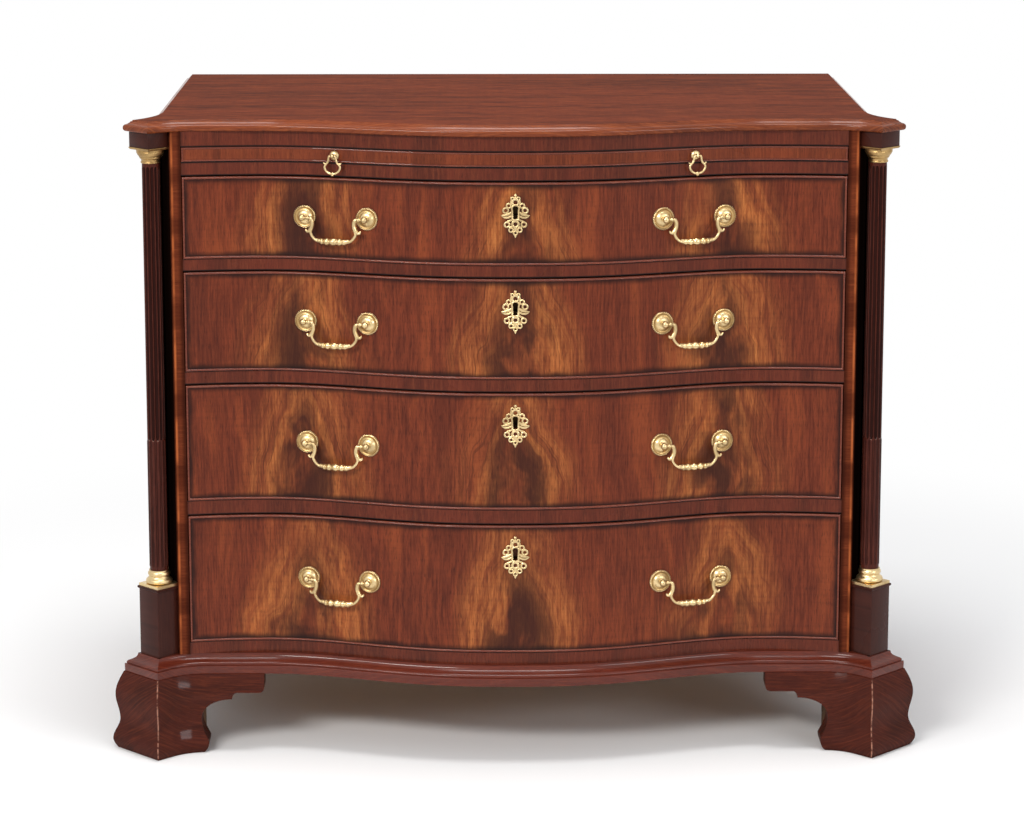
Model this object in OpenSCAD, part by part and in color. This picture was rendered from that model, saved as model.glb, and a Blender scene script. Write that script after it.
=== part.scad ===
// Serpentine mahogany chest of drawers with a brushing slide, free corner columns and ogee feet.
// Millimetres. X runs to the right, Y to the back and Z up. The origin is on the floor, in the
// middle of the chest's width and depth.

/* [Case] */
// Width over the outer faces of the two sides
case_w = 969; // [900:1:1040]
// Depth from the ends of the drawer fronts to the back of the case
case_d = 556; // [520:1:640]
// Thickness of the case sides
side_t = 18; // [14:1:22]
// Width of the front face of each stile
stile_w = 13.7; // [10:0.1:18]
// How far the stile's front arris lies inside the outer face of the side
recess_w = 18.5; // [14:0.5:22]
// Length of the canted recess behind each column, front to back
recess_d = 50; // [44:1:60]
// Thickness of the backboards
back_t = 12; // [9:1:16]
// Number of boards in the back
back_boards = 5; // [3:1:8]
// Thickness of the bottom board of the case
floor_t = 12; // [9:1:15]

/* [Serpentine front] */
// How far the middle of the front stands forward of its ends
bow = 52.5; // [30:0.5:60]
// How far the hollows lie behind the ends
dip = 12.6; // [6:0.2:18]
// Distance of each hollow from the middle
dip_x = 340; // [310:1:350]
// Sharpness of the wave: higher values broaden the middle bow
wave_power = 1.27; // [1.1:0.01:1.45]

/* [Heights] */
// Height of the bracket feet
foot_h = 111; // [95:1:125]
// Height of the base moulding
base_h = 26; // [22:1:32]
// Height of the rail under the lowest drawer
bottom_rail_h = 16.8; // [15:0.1:24]
// Height of the lowest drawer front
drawer_4_h = 179.8; // [150:0.1:200]
// Height of the third drawer front
drawer_3_h = 162; // [140:0.1:180]
// Height of the second drawer front
drawer_2_h = 137.6; // [120:0.1:160]
// Height of the top drawer front
drawer_1_h = 112.4; // [100:0.1:130]
// Height of the rail between the third and fourth drawers
rail_3_h = 19.8; // [16:0.1:24]
// Height of the rail between the second and third drawers
rail_2_h = 17.4; // [16:0.1:24]
// Height of the rail between the first and second drawers
rail_1_h = 16.3; // [16:0.1:24]
// Height of the rail between the slide and the top drawer
slide_rail_h = 18.5; // [16:0.1:24]
// Thickness of the brushing slide
slide_h = 19.2; // [16:0.1:24]
// Height of the frieze above the slide
frieze_h = 21.6; // [18:0.1:30]
// Thickness of the top
top_t = 15; // [14:0.5:20]

/* [Clearances] */
// Gap under each drawer, where it rides on its rail
run_gap = 0.6; // [0.4:0.1:1]
// Gap above each drawer
head_gap = 2; // [1:0.1:3]
// Gap at each side of the drawers and the slide
side_gap = 0.8; // [0.5:0.1:1.5]
// Hairline gap between pieces that are only laid together
seat_gap = 0.3; // [0.2:0.05:0.5]
// Radial clearance of the handle pins in their posts
pin_gap = 0.1; // [0.05:0.01:0.1]

/* [Drawers] */
// Thickness of the drawer fronts, front to back
front_t = 22; // [18:1:26]
// Gap between the drawers and the backboards
drawer_rear_gap = 24; // [10:1:100]
// Thickness of the drawer sides
wall_t = 10; // [8:1:14]
// Thickness of the drawer bottoms
bottom_t = 8; // [6:1:10]
// Height of the drawer bottom above the lower edge of the front
bottom_lift = 5; // [3:1:9]
// How far the drawer sides stop below the top of the front
side_drop = 6; // [4:1:12]
// Thickness of the cockbead
bead_t = 3.2; // [2:0.1:4]
// How far the cockbead stands proud of the front
bead_proud = 2; // [1:0.1:3]
// Depth of the rebate that holds the cockbead
bead_d = 10; // [8:1:12]
// Travel of each drawer
drawer_travel = 400; // [300:10:430]
// Depth of the rails, back from the ends of the front
rail_d = 75; // [60:1:90]
// Set-back of the rail faces behind the drawer faces
rail_set = 0.5; // [0:0.1:2]
// Width of the drawer runners
runner_w = 48; // [35:1:60]
// Thickness of the dust boards
dust_t = 8; // [6:1:10]

/* [Brushing slide] */
// Gap between the brushing slide and the backboards
slide_rear_gap = 74; // [40:1:120]
// Width of the bead worked round the front of the slide
slide_bead = 2.4; // [2:0.1:3]
// Travel of the slide
slide_travel = 250; // [150:10:300]

/* [Top and base] */
// How far the lip of the top stands outside the corner blocks
lip_out = 5.7; // [4:0.1:9]
// Extra stand-off of the lip along the two sides
lip_side = 3.3; // [0:0.1:5]
// How far the top overhangs the back
top_back = 3; // [0:0.5:10]
// Stand-off of the moulding line in front of the drawer faces
line_out = 4; // [2:0.5:6]
// How far the base moulding stands outside the pedestals
base_out = 16; // [12:0.5:20]
// Width that the base frame keeps at its narrowest, inside the corner blocks
base_core = 4; // [3:1:8]
// Where the front mouldings start to turn out to the corners
ear_start = 425; // [415:1:430]
// Where the ears run back into the straight sides
ear_end = 100; // [90:1:120]

/* [Corner columns] */
// Width of the square blocks and pedestals, which stand cornerwise
block_w = 40; // [36:0.5:42]
// How far the column axes stand outside the outer faces of the sides
column_out = 9.5; // [6:0.5:15]
// Distance of the column axes behind the ends of the front
column_y = 9.3; // [6:0.1:12]
// Height of the pedestals above the base moulding
pedestal_h = 93.7; // [70:0.1:120]
// Thickness of the cap board on each pedestal
cap_t = 3.9; // [3:0.1:6]
// Overhang of the cap board
cap_out = 1.6; // [0.5:0.1:3]
// Height of the brass column base
column_base_h = 23.1; // [18:0.1:30]
// Height of the brass capital
capital_h = 22; // [16:0.1:28]
// Shaft diameter at the foot
shaft_foot_d = 25.2; // [22:0.1:28]
// Shaft diameter at the top
shaft_top_d = 23.4; // [20:0.1:26]
// Number of flutes
flutes = 12; // [8:1:16]
// Height of the reeds that fill the lower ends of the flutes
reed_h = 185; // [100:1:260]

/* [Feet] */
// Length of each bracket, from the corner's axis to the tip of its wing
wing_len = 145; // [130:1:160]
// Stand-off of the foot at the floor
foot_floor_out = 24.4; // [20:0.1:28]
// Stand-off of the foot at its flare
foot_flare_out = 30; // [26:0.5:34]
// Stand-off of the foot at its waist
foot_waist_out = 21.7; // [18:0.1:24]
// Stand-off of the foot at its belly
foot_belly_out = 26; // [22:0.5:30]
// Stand-off of the foot under the base moulding
foot_top_out = 17; // [14:0.5:20]
// Depth of the foot brackets inside the pedestal faces
foot_in = 8; // [6:1:12]
// Thickness of the plain brackets at the back
back_bracket_t = 20; // [14:1:26]

/* [Brass] */
// Distance of the handles from the middle
handle_x = 243; // [225:1:255]
// Distance between the two posts of a handle
post_pitch = 89; // [80:1:96]
// Rise of the posts above the middle of the drawer front
post_rise = 2; // [0:0.5:6]
// Diameter of the rosettes
rosette_d = 32.5; // [28:0.5:34]
// Stand-off of the bail's axis from the drawer face
pivot_out = 12; // [11:0.5:15]
// Diameter of the ball on each post
ball_d = 9.6; // [8:0.2:11]
// Diameter of the bail's pins
pin_d = 3; // [2.4:0.1:3.2]
// Diameter of the bail's arms
arm_d = 4.6; // [4:0.1:5.2]
// Drop of the bail from its axis to the middle of the grip
bail_drop = 31.5; // [28:0.5:38]
// Distance of the bail's upright arms from its middle
arm_x = 30; // [29:0.5:32]
// Diameter of the spindles that pass through the drawer front
spindle_d = 4.8; // [4:0.1:6]
// Distance of the ring pulls from the middle
ring_x = 244; // [220:1:260]
// Stand-off of the ring's axis from the slide
ring_out = 9; // [8:0.5:12]
// Mean radius of the ring
ring_r = 10; // [8:0.5:11]
// Drop of the ring's centre below its axis
ring_drop = 13.5; // [12.5:0.5:15]
// Thickness of the escutcheon plates
plate_t = 2; // [1.5:0.1:3]
// Distance from the top of a drawer front to the middle of its keyhole
keyhole_drop = 41; // [38:0.5:46]
// Width of the drawer locks
lock_w = 62; // [50:1:70]
// Height of the drawer locks
lock_h = 60; // [56:1:66]
// Depth of the drawer locks
lock_d = 11; // [9:0.5:13]
// Travel of the lock bolt
bolt_travel = 8; // [5:0.5:9]

/* [Hidden] */

// Colours
veneer = [0.45, 0.20, 0.11];
mahogany = [0.36, 0.14, 0.09];
dark_wood = [0.24, 0.11, 0.09];
inside_wood = [0.62, 0.47, 0.30];
bright_bead = [0.55, 0.30, 0.20];
brass = [0.80, 0.68, 0.42];
old_brass = [0.55, 0.45, 0.28];
iron = [0.32, 0.30, 0.28];

// A cut passes this far beyond the face it opens
past = 1;

// Driving lists, top drawer first
drawer_h = [drawer_1_h, drawer_2_h, drawer_3_h, drawer_4_h];
rail_h = [slide_rail_h, rail_1_h, rail_2_h, rail_3_h, bottom_rail_h];

// Widths
side_x = case_w / 2;
stile_x = side_x - recess_w;
open_x = stile_x - stile_w;
drawer_x = open_x - side_gap;
inner_x = side_x - side_t;

// Depths. Y is zero in the middle of the whole depth, so the ends of the front lie at end_y.
front_reach = bow + line_out + base_out;
back_reach = case_d + top_back;
end_y = (front_reach - back_reach) / 2;
back_y = end_y + case_d;
back_in_y = back_y - back_t;
rail_back_y = end_y + rail_d;

// Heights, from the floor up. rail_z and drawer_z give the lower edge of each rail and drawer.
case_z = foot_h + base_h;
function drawer_z(i) =
    i == 3 ? case_z + bottom_rail_h + run_gap : rail_z(i + 1) + rail_h[i + 1] + run_gap;
function rail_z(i) = i == 4 ? case_z : drawer_z(i) + drawer_h[i] + head_gap;
slide_z = rail_z(0) + slide_rail_h + run_gap;
frieze_z = slide_z + slide_h + run_gap;
top_z = frieze_z + frieze_h;
pedestal_top = case_z + pedestal_h;
shaft_z = pedestal_top + cap_t + column_base_h;
shaft_h = frieze_z - capital_h - shaft_z;

// The serpentine line of the drawer faces
wave_mid = (dip - bow) / 2;
wave_amp = (dip + bow) / 2;
function wave(x) = wave_mid - wave_amp * cos(180 * pow(abs(x) / dip_x, wave_power));
function tail(x) = dip * (1 - pow((abs(x) - dip_x) / (stile_x - dip_x), 2));
function face_y(x) = end_y + (abs(x) <= dip_x ? wave(x) : tail(x));
function slope_at(x) = atan2(face_y(x + 1) - face_y(x - 1), 2);

// Points along the front, at one spacing for every piece, with the ends added
wave_step = 17;
function stations(half) = [
    -half,
    for (i = [-floor((half - 1) / wave_step) : floor((half - 1) / wave_step)]) i * wave_step,
    half
];
function front_line(half, set) = [for (x = stations(half)) [x, face_y(x) + set]];
function reversed(p) = [for (i = [len(p) - 1 : -1 : 0]) p[i]];
function mirrored(p) = [for (q = reversed(p)) [-q.x, q.y]];

// Quadratic and cubic curves without their first point
function bend(a, b, c, n) = [
    for (i = [1 : n]) let (t = i / n) (1 - t) * (1 - t) * a + 2 * t * (1 - t) * b + t * t * c
];
function sweep4(a, b, c, d, n) = [
    for (i = [1 : n]) let (t = i / n, s = 1 - t)
        s * s * s * a + 3 * s * s * t * b + 3 * s * t * t * c + t * t * t * d
];

// An open path moved sideways by d, to its right-hand side, with mitred corners
function unit(v) = v / norm(v);
function side_of(a, b) = let (u = unit(b - a)) [u.y, -u.x];
function moved(p, d) = [
    for (i = [0 : len(p) - 1]) let (
        m = side_of(p[max(i - 1, 0)], p[max(i, 1)]),
        n = side_of(p[min(i, len(p) - 2)], p[min(i + 1, len(p) - 1)])
    ) p[i] + d * (m + n) / (1 + m * n)
];

// The plan line that the top, the base moulding and the feet share: along the front, round the
// ear of the right-hand corner and back along the side
half_diag = block_w / sqrt(2);
base_in = (block_w - base_core) / 2;
column_x = side_x + column_out;
column_at = [column_x, end_y + column_y];
ear_front = column_at - [0, half_diag];
ear_side = column_at + [half_diag, 0];
line_y = end_y + dip - line_out;
ear_from = [ear_start, line_y];
ear_knee = [ear_front.x - (line_y - ear_front.y), line_y];
function ear_turn(extra) = [side_x + extra, ear_side.y + ear_side.x - side_x - extra];
function ear_to(extra) = [side_x + extra, end_y + ear_end];
ear_steps = 6;
function ear_path(extra) = concat(
    [ear_from], bend(ear_from, ear_knee, ear_front, ear_steps),
    [ear_side], bend(ear_side, ear_turn(extra), ear_to(extra), ear_steps)
);
front_points = [for (x = [0 : wave_step : dip_x]) [x, face_y(x) - line_out]];
function right_path(back, extra) =
    concat(front_points, ear_path(extra), [[side_x + extra, back]]);
function whole_path(back, extra) = let (right = right_path(back, extra))
    concat(mirrored(right), [for (i = [1 : len(right) - 1]) right[i]]);

// A solid through closed outlines of equal length, given from the lowest up
module loft(outlines, heights) {
    n = len(outlines[0]);
    levels = len(heights);
    polyhedron(
        points = [for (k = [0 : levels - 1], q = outlines[k]) [q.x, q.y, heights[k]]],
        faces = concat(
            [[for (i = [0 : n - 1]) i]],
            [[for (i = [n - 1 : -1 : 0]) (levels - 1) * n + i]],
            [for (k = [0 : levels - 2], i = [0 : n - 1]) let (j = (i + 1) % n)
                [k * n + i, (k + 1) * n + i, (k + 1) * n + j, k * n + j]]
        ),
        convexity = 8
    );
}

// A moulding along an open path. Each point of its section is [out, up], from the lowest inner
// point round by the outer face.
module run_of(path, section) {
    n = len(section);
    last = len(path) - 1;
    lines = [for (e = section) moved(path, e[0])];
    polyhedron(
        points = [for (i = [0 : last], k = [0 : n - 1]) [lines[k][i].x, lines[k][i].y, section[k][1]]],
        faces = concat(
            [[for (k = [n - 1 : -1 : 0]) k]],
            [[for (k = [0 : n - 1]) last * n + k]],
            [for (i = [0 : last - 1], k = [0 : n - 1]) let (j = (k + 1) % n)
                [i * n + k, i * n + j, (i + 1) * n + j, (i + 1) * n + k]]
        ),
        convexity = 8
    );
}

// Top edge: stand-in from the lip and depth below the top surface
top_edge = [
    [2.2, 15], [0.7, 13.8], [0, 11.8], [0, 9.5], [0.6, 7.6], [1.8, 6.4],
    [4.2, 5.3], [6.5, 3.4], [7.8, 1.6], [9.3, 1.2], [9.5, 0]
];

// Base moulding: stand-off from the pedestals and depth below its upper edge, as shares
base_edge = [
    [1, 1], [1, 0.57], [0.85, 0.55], [0.87, 0.48], [0.78, 0.40],
    [0.56, 0.33], [0.31, 0.23], [0.19, 0.12], [0.15, 0]
];

// Ogee feet: stand-off at each height, easing between floor, flare, waist, belly and top
flare_z = 13;
waist_z = 43;
belly_z = 77.5;
function ease(a, b, t) = a + (b - a) * (1 - cos(180 * t)) / 2;
function foot_out(z) =
    z < flare_z ? foot_floor_out + (foot_flare_out - foot_floor_out) * sin(90 * z / flare_z) :
    z < waist_z ? ease(foot_flare_out, foot_waist_out, (z - flare_z) / (waist_z - flare_z)) :
    z < belly_z ? ease(foot_waist_out, foot_belly_out, (z - waist_z) / (belly_z - waist_z)) :
    foot_top_out + (foot_belly_out - foot_top_out) * cos(90 * (z - belly_z) / (foot_h - belly_z));
foot_levels = concat(
    [for (i = [0 : 2]) flare_z * i / 3],
    [for (i = [0 : 4]) flare_z + (waist_z - flare_z) * i / 5],
    [for (i = [0 : 4]) waist_z + (belly_z - waist_z) * i / 5],
    [for (i = [0 : 4]) belly_z + (foot_h - belly_z) * i / 4]
);

// The void under a bracket, with s measured from the corner's axis to the wing's tip
leg_s = 57;
floor_s = 60;
toe_s = 67.5;
toe_z = 17;
cusp_s = 100;
step_s = 108;
wing_drop = 25;
wing_round = 8;
cusp_z = foot_h - wing_drop - 9;
wing_z = foot_h - wing_drop;
under_wing = concat(
    [[floor_s, -past]],
    [[floor_s, 0]],
    bend([floor_s, 0], [toe_s, toe_z / 3], [toe_s, toe_z], 3),
    sweep4([toe_s, toe_z], [toe_s - 4, toe_z + 8], [leg_s, waist_z - 8], [leg_s, waist_z + 4], 5),
    sweep4([leg_s, waist_z + 4], [leg_s, cusp_z - 10], [cusp_s - 22, cusp_z], [cusp_s, cusp_z], 7),
    bend([cusp_s, cusp_z], [cusp_s + 1, wing_z], [step_s, wing_z], 3),
    [[wing_len - wing_round, wing_z]],
    bend([wing_len - wing_round, wing_z], [wing_len, wing_z],
        [wing_len, wing_z + wing_round], 3),
    [[wing_len + past, wing_z + wing_round], [wing_len + past, -past]]
);

// Ear plans: the pedestal and frieze blocks run back to the recess, and plates are clipped there
recess_k = recess_w / recess_d;
function recess_at(y) = [stile_x + recess_k * y, end_y + y];
function front_meet(h) = recess_at((column_x + column_y - h - stile_x) / (1 + recess_k));
function rear_meet(h) = recess_at((column_x + column_y + h - stile_x) / (1 + recess_k));
function inner_meet(h) = recess_at((column_y + h - column_x + stile_x) / (1 - recess_k));
function block_plan(h) = [front_meet(h), column_at - [0, h], column_at + [h, 0], rear_meet(h)];
function plate_plan(h) = [
    front_meet(h), column_at - [0, h], column_at + [h, 0], column_at + [0, h], inner_meet(h)
];

// Handles stand square to the chord between their two posts
post_dx = post_pitch / 2 * cos(slope_at(handle_x));
function post_at(k) = [handle_x + k * post_dx, face_y(handle_x + k * post_dx)];
post_line = post_at(1) - post_at(-1);
handle_angle = atan2(post_line.y, post_line.x);
handle_at = (post_at(1) + post_at(-1)) / 2;
post_half = norm(post_line) / 2;
function handle_z(i) = drawer_z(i) + drawer_h[i] / 2 + post_rise;
ring_angle = slope_at(ring_x);
ring_z = slide_z + slide_h / 2;

// Lock places
front_back_y = face_y(0) + front_t;
lock_y = front_back_y - lock_d;
bolt_w = 24;
bolt_t = 5;
bolt_h = 16;
bolt_y = lock_y + 4.5;
key_r = 3.6;
key_slot_w = 6.2;
key_slot_h = 11;

// Places one item on the right-hand side and its mirror image on the left
module pair() {
    children();
    mirror([1, 0, 0]) children();
}

module extrude_at(z, h) {
    translate([0, 0, z]) linear_extrude(height = h) children();
}

// Turns a piece drawn with its face up along +Z so that it stands out from the right-hand front
module on_front(at, angle, z) {
    translate([at.x, at.y, z]) rotate([0, 0, angle]) rotate([90, 0, 0]) children();
}

// Case

module top() {
    heights = [for (e = top_edge) top_z + top_t - e[1] * top_t / 15];
    rear_y = back_y + top_back;
    outlines = [for (e = top_edge) moved(whole_path(rear_y, lip_side), lip_out - e[0])];
    color(veneer) loft([for (o = outlines) [for (q = o) [q.x, min(q.y, rear_y)]]], heights);
}

module side_board() {
    color(mahogany)
        translate([inner_x, end_y + recess_d, case_z])
            cube([side_t, case_d - recess_d, top_z - case_z]);
}

module side_left() {
    mirror([1, 0, 0]) side_board();
}

module side_right() {
    side_board();
}

module backboards() {
    board_h = (top_z - case_z) / back_boards;
    color(inside_wood)
        for (i = [0 : back_boards - 1])
            translate([-inner_x, back_in_y, case_z + i * board_h])
                cube([2 * inner_x, back_t, board_h - seat_gap]);
}

module case_bottom() {
    color(inside_wood)
        translate([-inner_x, rail_back_y, case_z])
            cube([2 * inner_x, back_in_y - rail_back_y, floor_t]);
}

module stiles() {
    color(mahogany) pair() extrude_at(case_z, top_z - case_z)
        polygon([
            [open_x, end_y], [stile_x, end_y], [side_x, end_y + recess_d], [open_x, end_y + recess_d]
        ]);
}

module rail_plan() {
    polygon(concat(front_line(open_x, rail_set), [[open_x, rail_back_y], [-open_x, rail_back_y]]));
}

module bolt_mortise(i) {
    translate([-bolt_w / 2 - side_gap, bolt_y - side_gap, rail_z(i) - past])
        cube([bolt_w + 2 * side_gap, bolt_t + 2 * side_gap, past + bolt_travel]);
}

module mortised_rail(i) {
    difference() {
        extrude_at(rail_z(i), rail_h[i]) rail_plan();
        bolt_mortise(i);
    }
}

module frieze_rail() {
    color(veneer) extrude_at(frieze_z, frieze_h) rail_plan();
}

module slide_rail() {
    color(veneer) mortised_rail(0);
}

module drawer_rails() {
    color(veneer) for (i = [1 : 3]) mortised_rail(i);
}

module bottom_rail() {
    color(veneer) extrude_at(case_z, bottom_rail_h) rail_plan();
}

module dust_boards() {
    run_d = back_in_y - rail_back_y;
    board_x = inner_x - runner_w - seat_gap;
    color(inside_wood) for (i = [0 : 3]) {
        pair() translate([inner_x - runner_w, rail_back_y, rail_z(i)])
            cube([runner_w, run_d, rail_h[i]]);
        translate([-board_x, rail_back_y, rail_z(i) + (rail_h[i] - dust_t) / 2])
            cube([2 * board_x, run_d, dust_t]);
    }
    color(inside_wood) pair() translate([inner_x - runner_w, rail_back_y, case_z + floor_t])
        cube([runner_w, run_d, bottom_rail_h - floor_t]);
}

module drawer_guides() {
    guide_h = 20;
    slide_guide_h = 12;
    color(inside_wood) pair() {
        for (i = [0 : 3])
            translate([open_x, rail_back_y, rail_z(i + 1) + rail_h[i + 1]])
                cube([inner_x - open_x, back_in_y - rail_back_y, guide_h]);
        translate([open_x, rail_back_y, rail_z(0) + slide_rail_h])
            cube([inner_x - open_x, back_in_y - rail_back_y, slide_guide_h]);
    }
}

// Base

base_section = concat(
    [[-base_in, foot_h]],
    [for (e = base_edge) [base_out * e[0], case_z - base_h * e[1]]],
    [[-base_in, case_z]]
);

module base_moulding() {
    run_joint = end_y + ear_end + 5;
    color(mahogany) {
        run_of(whole_path(run_joint, 0), base_section);
        pair() run_of([[side_x, run_joint + seat_gap], [side_x, back_y]], base_section);
    }
}

module foot_body(path) {
    loft(
        [for (z = foot_levels) concat(moved(path, foot_out(z)), reversed(moved(path, -foot_in)))],
        foot_levels
    );
}

module bracket_void(reach) {
    rotate([90, 0, 0]) translate([0, 0, -reach]) linear_extrude(height = 2 * reach)
        polygon(under_wing);
}

module front_foot() {
    side_tip = end_y + column_y + wing_len;
    path = concat([[column_x - wing_len, line_y]], ear_path(0), [[side_x, side_tip]]);
    reach = 60;
    block_path = [
        for (q = moved(ear_path(0), -foot_in - seat_gap))
            if (q.x > column_x - leg_s && q.y < end_y + column_y + leg_s) q
    ];
    block_in = [column_x - leg_s, end_y + column_y + leg_s];
    color(mahogany) difference() {
        foot_body(path);
        translate([column_x, line_y, 0]) mirror([1, 0, 0]) bracket_void(reach);
        translate([side_x, end_y + column_y, 0]) rotate([0, 0, 90]) bracket_void(reach);
    }
    color(inside_wood) extrude_at(0, foot_h)
        polygon(concat(
            [[block_in.x, block_path[0].y]], block_path,
            [[side_x - foot_in - seat_gap, block_in.y], block_in]
        ));
}

module back_foot() {
    front_tip = back_y - wing_len;
    path = [[side_x, front_tip], [side_x, back_y]];
    reach = 60;
    color(mahogany) difference() {
        foot_body(path);
        translate([side_x, back_y, 0]) rotate([0, 0, -90]) bracket_void(reach);
    }
    color(inside_wood) difference() {
        translate([side_x - wing_len, back_y - back_bracket_t, 0])
            cube([wing_len - foot_in - seat_gap, back_bracket_t, foot_h]);
        translate([side_x, back_y, 0]) mirror([1, 0, 0]) bracket_void(reach);
    }
    color(inside_wood)
        translate([side_x - leg_s, back_y - leg_s, 0])
            cube([leg_s - foot_in - seat_gap, leg_s - back_bracket_t - seat_gap, foot_h]);
}

module foot_front_left() {
    mirror([1, 0, 0]) front_foot();
}

module foot_front_right() {
    front_foot();
}

module foot_back_left() {
    mirror([1, 0, 0]) back_foot();
}

module foot_back_right() {
    back_foot();
}

// Corner columns

module pedestals() {
    color(dark_wood) pair() {
        extrude_at(case_z, pedestal_h) polygon(block_plan(half_diag));
        extrude_at(pedestal_top, cap_t) polygon(block_plan(half_diag + cap_out * sqrt(2)));
    }
}

module frieze_blocks() {
    color(mahogany) pair() extrude_at(frieze_z, frieze_h) polygon(block_plan(half_diag));
}

module column_bases() {
    plinth_t = 4;
    ring_r1 = 18.5;
    ring_r2 = 15.5;
    body_h = column_base_h - plinth_t;
    color(brass) pair() {
        extrude_at(pedestal_top + cap_t, plinth_t) polygon(plate_plan(half_diag));
        translate([column_at.x, column_at.y, pedestal_top + cap_t + plinth_t])
            rotate_extrude($fn = 64) polygon([
                [0, 0], [ring_r1 - 2.5, 0], [ring_r1 - 0.6, 1.6], [ring_r1, 4], [ring_r1 - 0.6, 6.4],
                [ring_r1 - 2.5, 8], [ring_r2 - 0.6, 9.4], [ring_r2 - 1.4, 12.4], [ring_r2 - 0.4, 13.8],
                [ring_r2, 15.4], [ring_r2 - 0.4, 17], [ring_r2 - 1.6, body_h], [0, body_h]
            ]);
    }
}

module column_capitals() {
    abacus_t = 3;
    neck_h = capital_h - abacus_t;
    neck_r = shaft_top_d / 2;
    ovolo_r = 19;
    color(brass) pair() {
        extrude_at(frieze_z - abacus_t, abacus_t) polygon(plate_plan(half_diag + 1));
        translate([column_at.x, column_at.y, frieze_z - capital_h])
            rotate_extrude($fn = 64) polygon([
                [0, 0], [neck_r + 0.4, 0], [neck_r + 0.6, 2], [neck_r + 1.4, 4.5], [neck_r + 2.6, 6.5],
                [neck_r + 2.6, 8], [neck_r + 3.6, 8.6], [neck_r + 4.8, 11], [neck_r + 5.2, 12.4],
                [ovolo_r - 0.9, 13.2], [ovolo_r, 15.4], [ovolo_r, neck_h], [0, neck_h]
            ]);
    }
}

module column() {
    flute_r = 2.3;
    reed_r = 1.9;
    ring_h = 4;
    taper = atan((shaft_foot_d - shaft_top_d) / 2 / shaft_h);
    color(dark_wood) translate([column_at.x, column_at.y, shaft_z]) {
        difference() {
            cylinder(h = shaft_h, d1 = shaft_foot_d, d2 = shaft_top_d, $fn = 96);
            for (i = [0 : flutes - 1]) rotate([0, 0, (i + 0.5) * 360 / flutes])
                translate([shaft_foot_d / 2 + 0.2, 0, ring_h]) rotate([0, -taper, 0])
                    cylinder(h = shaft_h - 2 * ring_h, r = flute_r, $fn = 20);
        }
        for (i = [0 : flutes - 1]) rotate([0, 0, (i + 0.5) * 360 / flutes])
            translate([shaft_foot_d / 2 - 1.9, 0, ring_h]) rotate([0, -taper, 0])
                cylinder(h = reed_h, r = reed_r, $fn = 20);
    }
}

module column_left() {
    mirror([1, 0, 0]) column();
}

module column_right() {
    column();
}

// Drawers

module front_plan() {
    polygon(concat(front_line(drawer_x, 0), reversed(back_line())));
}

// The back of a drawer front is flat at its ends, where the sides meet it
flat_x = drawer_x - wall_t - 12;
flat_y = face_y(flat_x) + front_t;
function back_line() = [
    for (x = stations(drawer_x)) [x, abs(x) < flat_x ? face_y(x) + front_t : flat_y]
];

module post_bores(i) {
    depth = 3 * front_t;
    pair() for (k = [-1, 1])
        on_front(post_at(k), handle_angle, handle_z(i))
            translate([0, 0, -depth / 2]) cylinder(h = depth, d = spindle_d + 2 * pin_gap, $fn = 32);
}

module key_cut(y, depth) {
    translate([0, y, 0]) rotate([-90, 0, 0]) {
        cylinder(h = depth, r = key_r, $fn = 32);
        translate([-key_slot_w / 2, 0, 0]) cube([key_slot_w, key_slot_h, depth]);
    }
}

// The round of the keyhole lies this far above the middle of its plate
key_rise = 6;
function keyhole_z(i) = drawer_z(i) + drawer_h[i] - keyhole_drop + key_rise;

module bead_rebate(i) {
    z0 = drawer_z(i);
    h = drawer_h[i];
    difference() {
        extrude_at(z0 - past, h + 2 * past)
            polygon(concat(
                front_line(drawer_x + past, -past),
                [[drawer_x + past, face_y(drawer_x) + bead_d]], reversed(front_line(drawer_x, bead_d)),
                [[-drawer_x - past, face_y(drawer_x) + bead_d]]
            ));
        extrude_at(z0 + bead_t, h - 2 * bead_t)
            polygon([
                [-drawer_x + bead_t, face_y(0) - bow], [drawer_x - bead_t, face_y(0) - bow],
                [drawer_x - bead_t, rail_back_y], [-drawer_x + bead_t, rail_back_y]
            ]);
    }
}

module drawer_front(i) {
    color(veneer) difference() {
        extrude_at(drawer_z(i), drawer_h[i]) front_plan();
        bead_rebate(i);
        translate([-lock_w / 2 - seat_gap, lock_y, drawer_z(i) + drawer_h[i] - lock_h])
            cube([lock_w + 2 * seat_gap, lock_d + front_t, lock_h + past]);
        translate([0, 0, keyhole_z(i)]) key_cut(face_y(0) - past, front_t);
        post_bores(i);
    }
}

// The beads lie a hairline in front of the rebate's back
bead_in = bead_d - seat_gap;
module bead_strip(i, z) {
    extrude_at(z, bead_t)
        polygon(concat(front_line(drawer_x, -bead_proud), reversed(front_line(drawer_x, bead_in))));
}

module drawer_beads(i) {
    end_x = [drawer_x - bead_t, drawer_x];
    color(bright_bead) {
        bead_strip(i, drawer_z(i));
        bead_strip(i, drawer_z(i) + drawer_h[i] - bead_t);
        pair() extrude_at(drawer_z(i) + bead_t + seat_gap, drawer_h[i] - 2 * (bead_t + seat_gap))
            polygon(concat(
                [for (x = end_x) [x, face_y(x) - bead_proud]],
                [for (x = reversed(end_x)) [x, face_y(x) + bead_in]]
            ));
    }
}

module drawer_box(i) {
    z0 = drawer_z(i);
    wall_h = drawer_h[i] - side_drop;
    rear_y = back_in_y - drawer_rear_gap;
    between_x = drawer_x - wall_t - seat_gap;
    color(inside_wood) {
        pair() translate([drawer_x - wall_t, flat_y, z0]) cube([wall_t, rear_y - flat_y, wall_h]);
        translate([-between_x, rear_y - wall_t, z0 + bottom_lift + bottom_t + seat_gap])
            cube([2 * between_x, wall_t, wall_h - bottom_lift - bottom_t - seat_gap]);
        extrude_at(z0 + bottom_lift, bottom_t)
            polygon(concat(
                [for (q = back_line()) if (abs(q.x) < between_x) q],
                [[between_x, flat_y], [between_x, rear_y], [-between_x, rear_y], [-between_x, flat_y]]
            ));
    }
}

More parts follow.
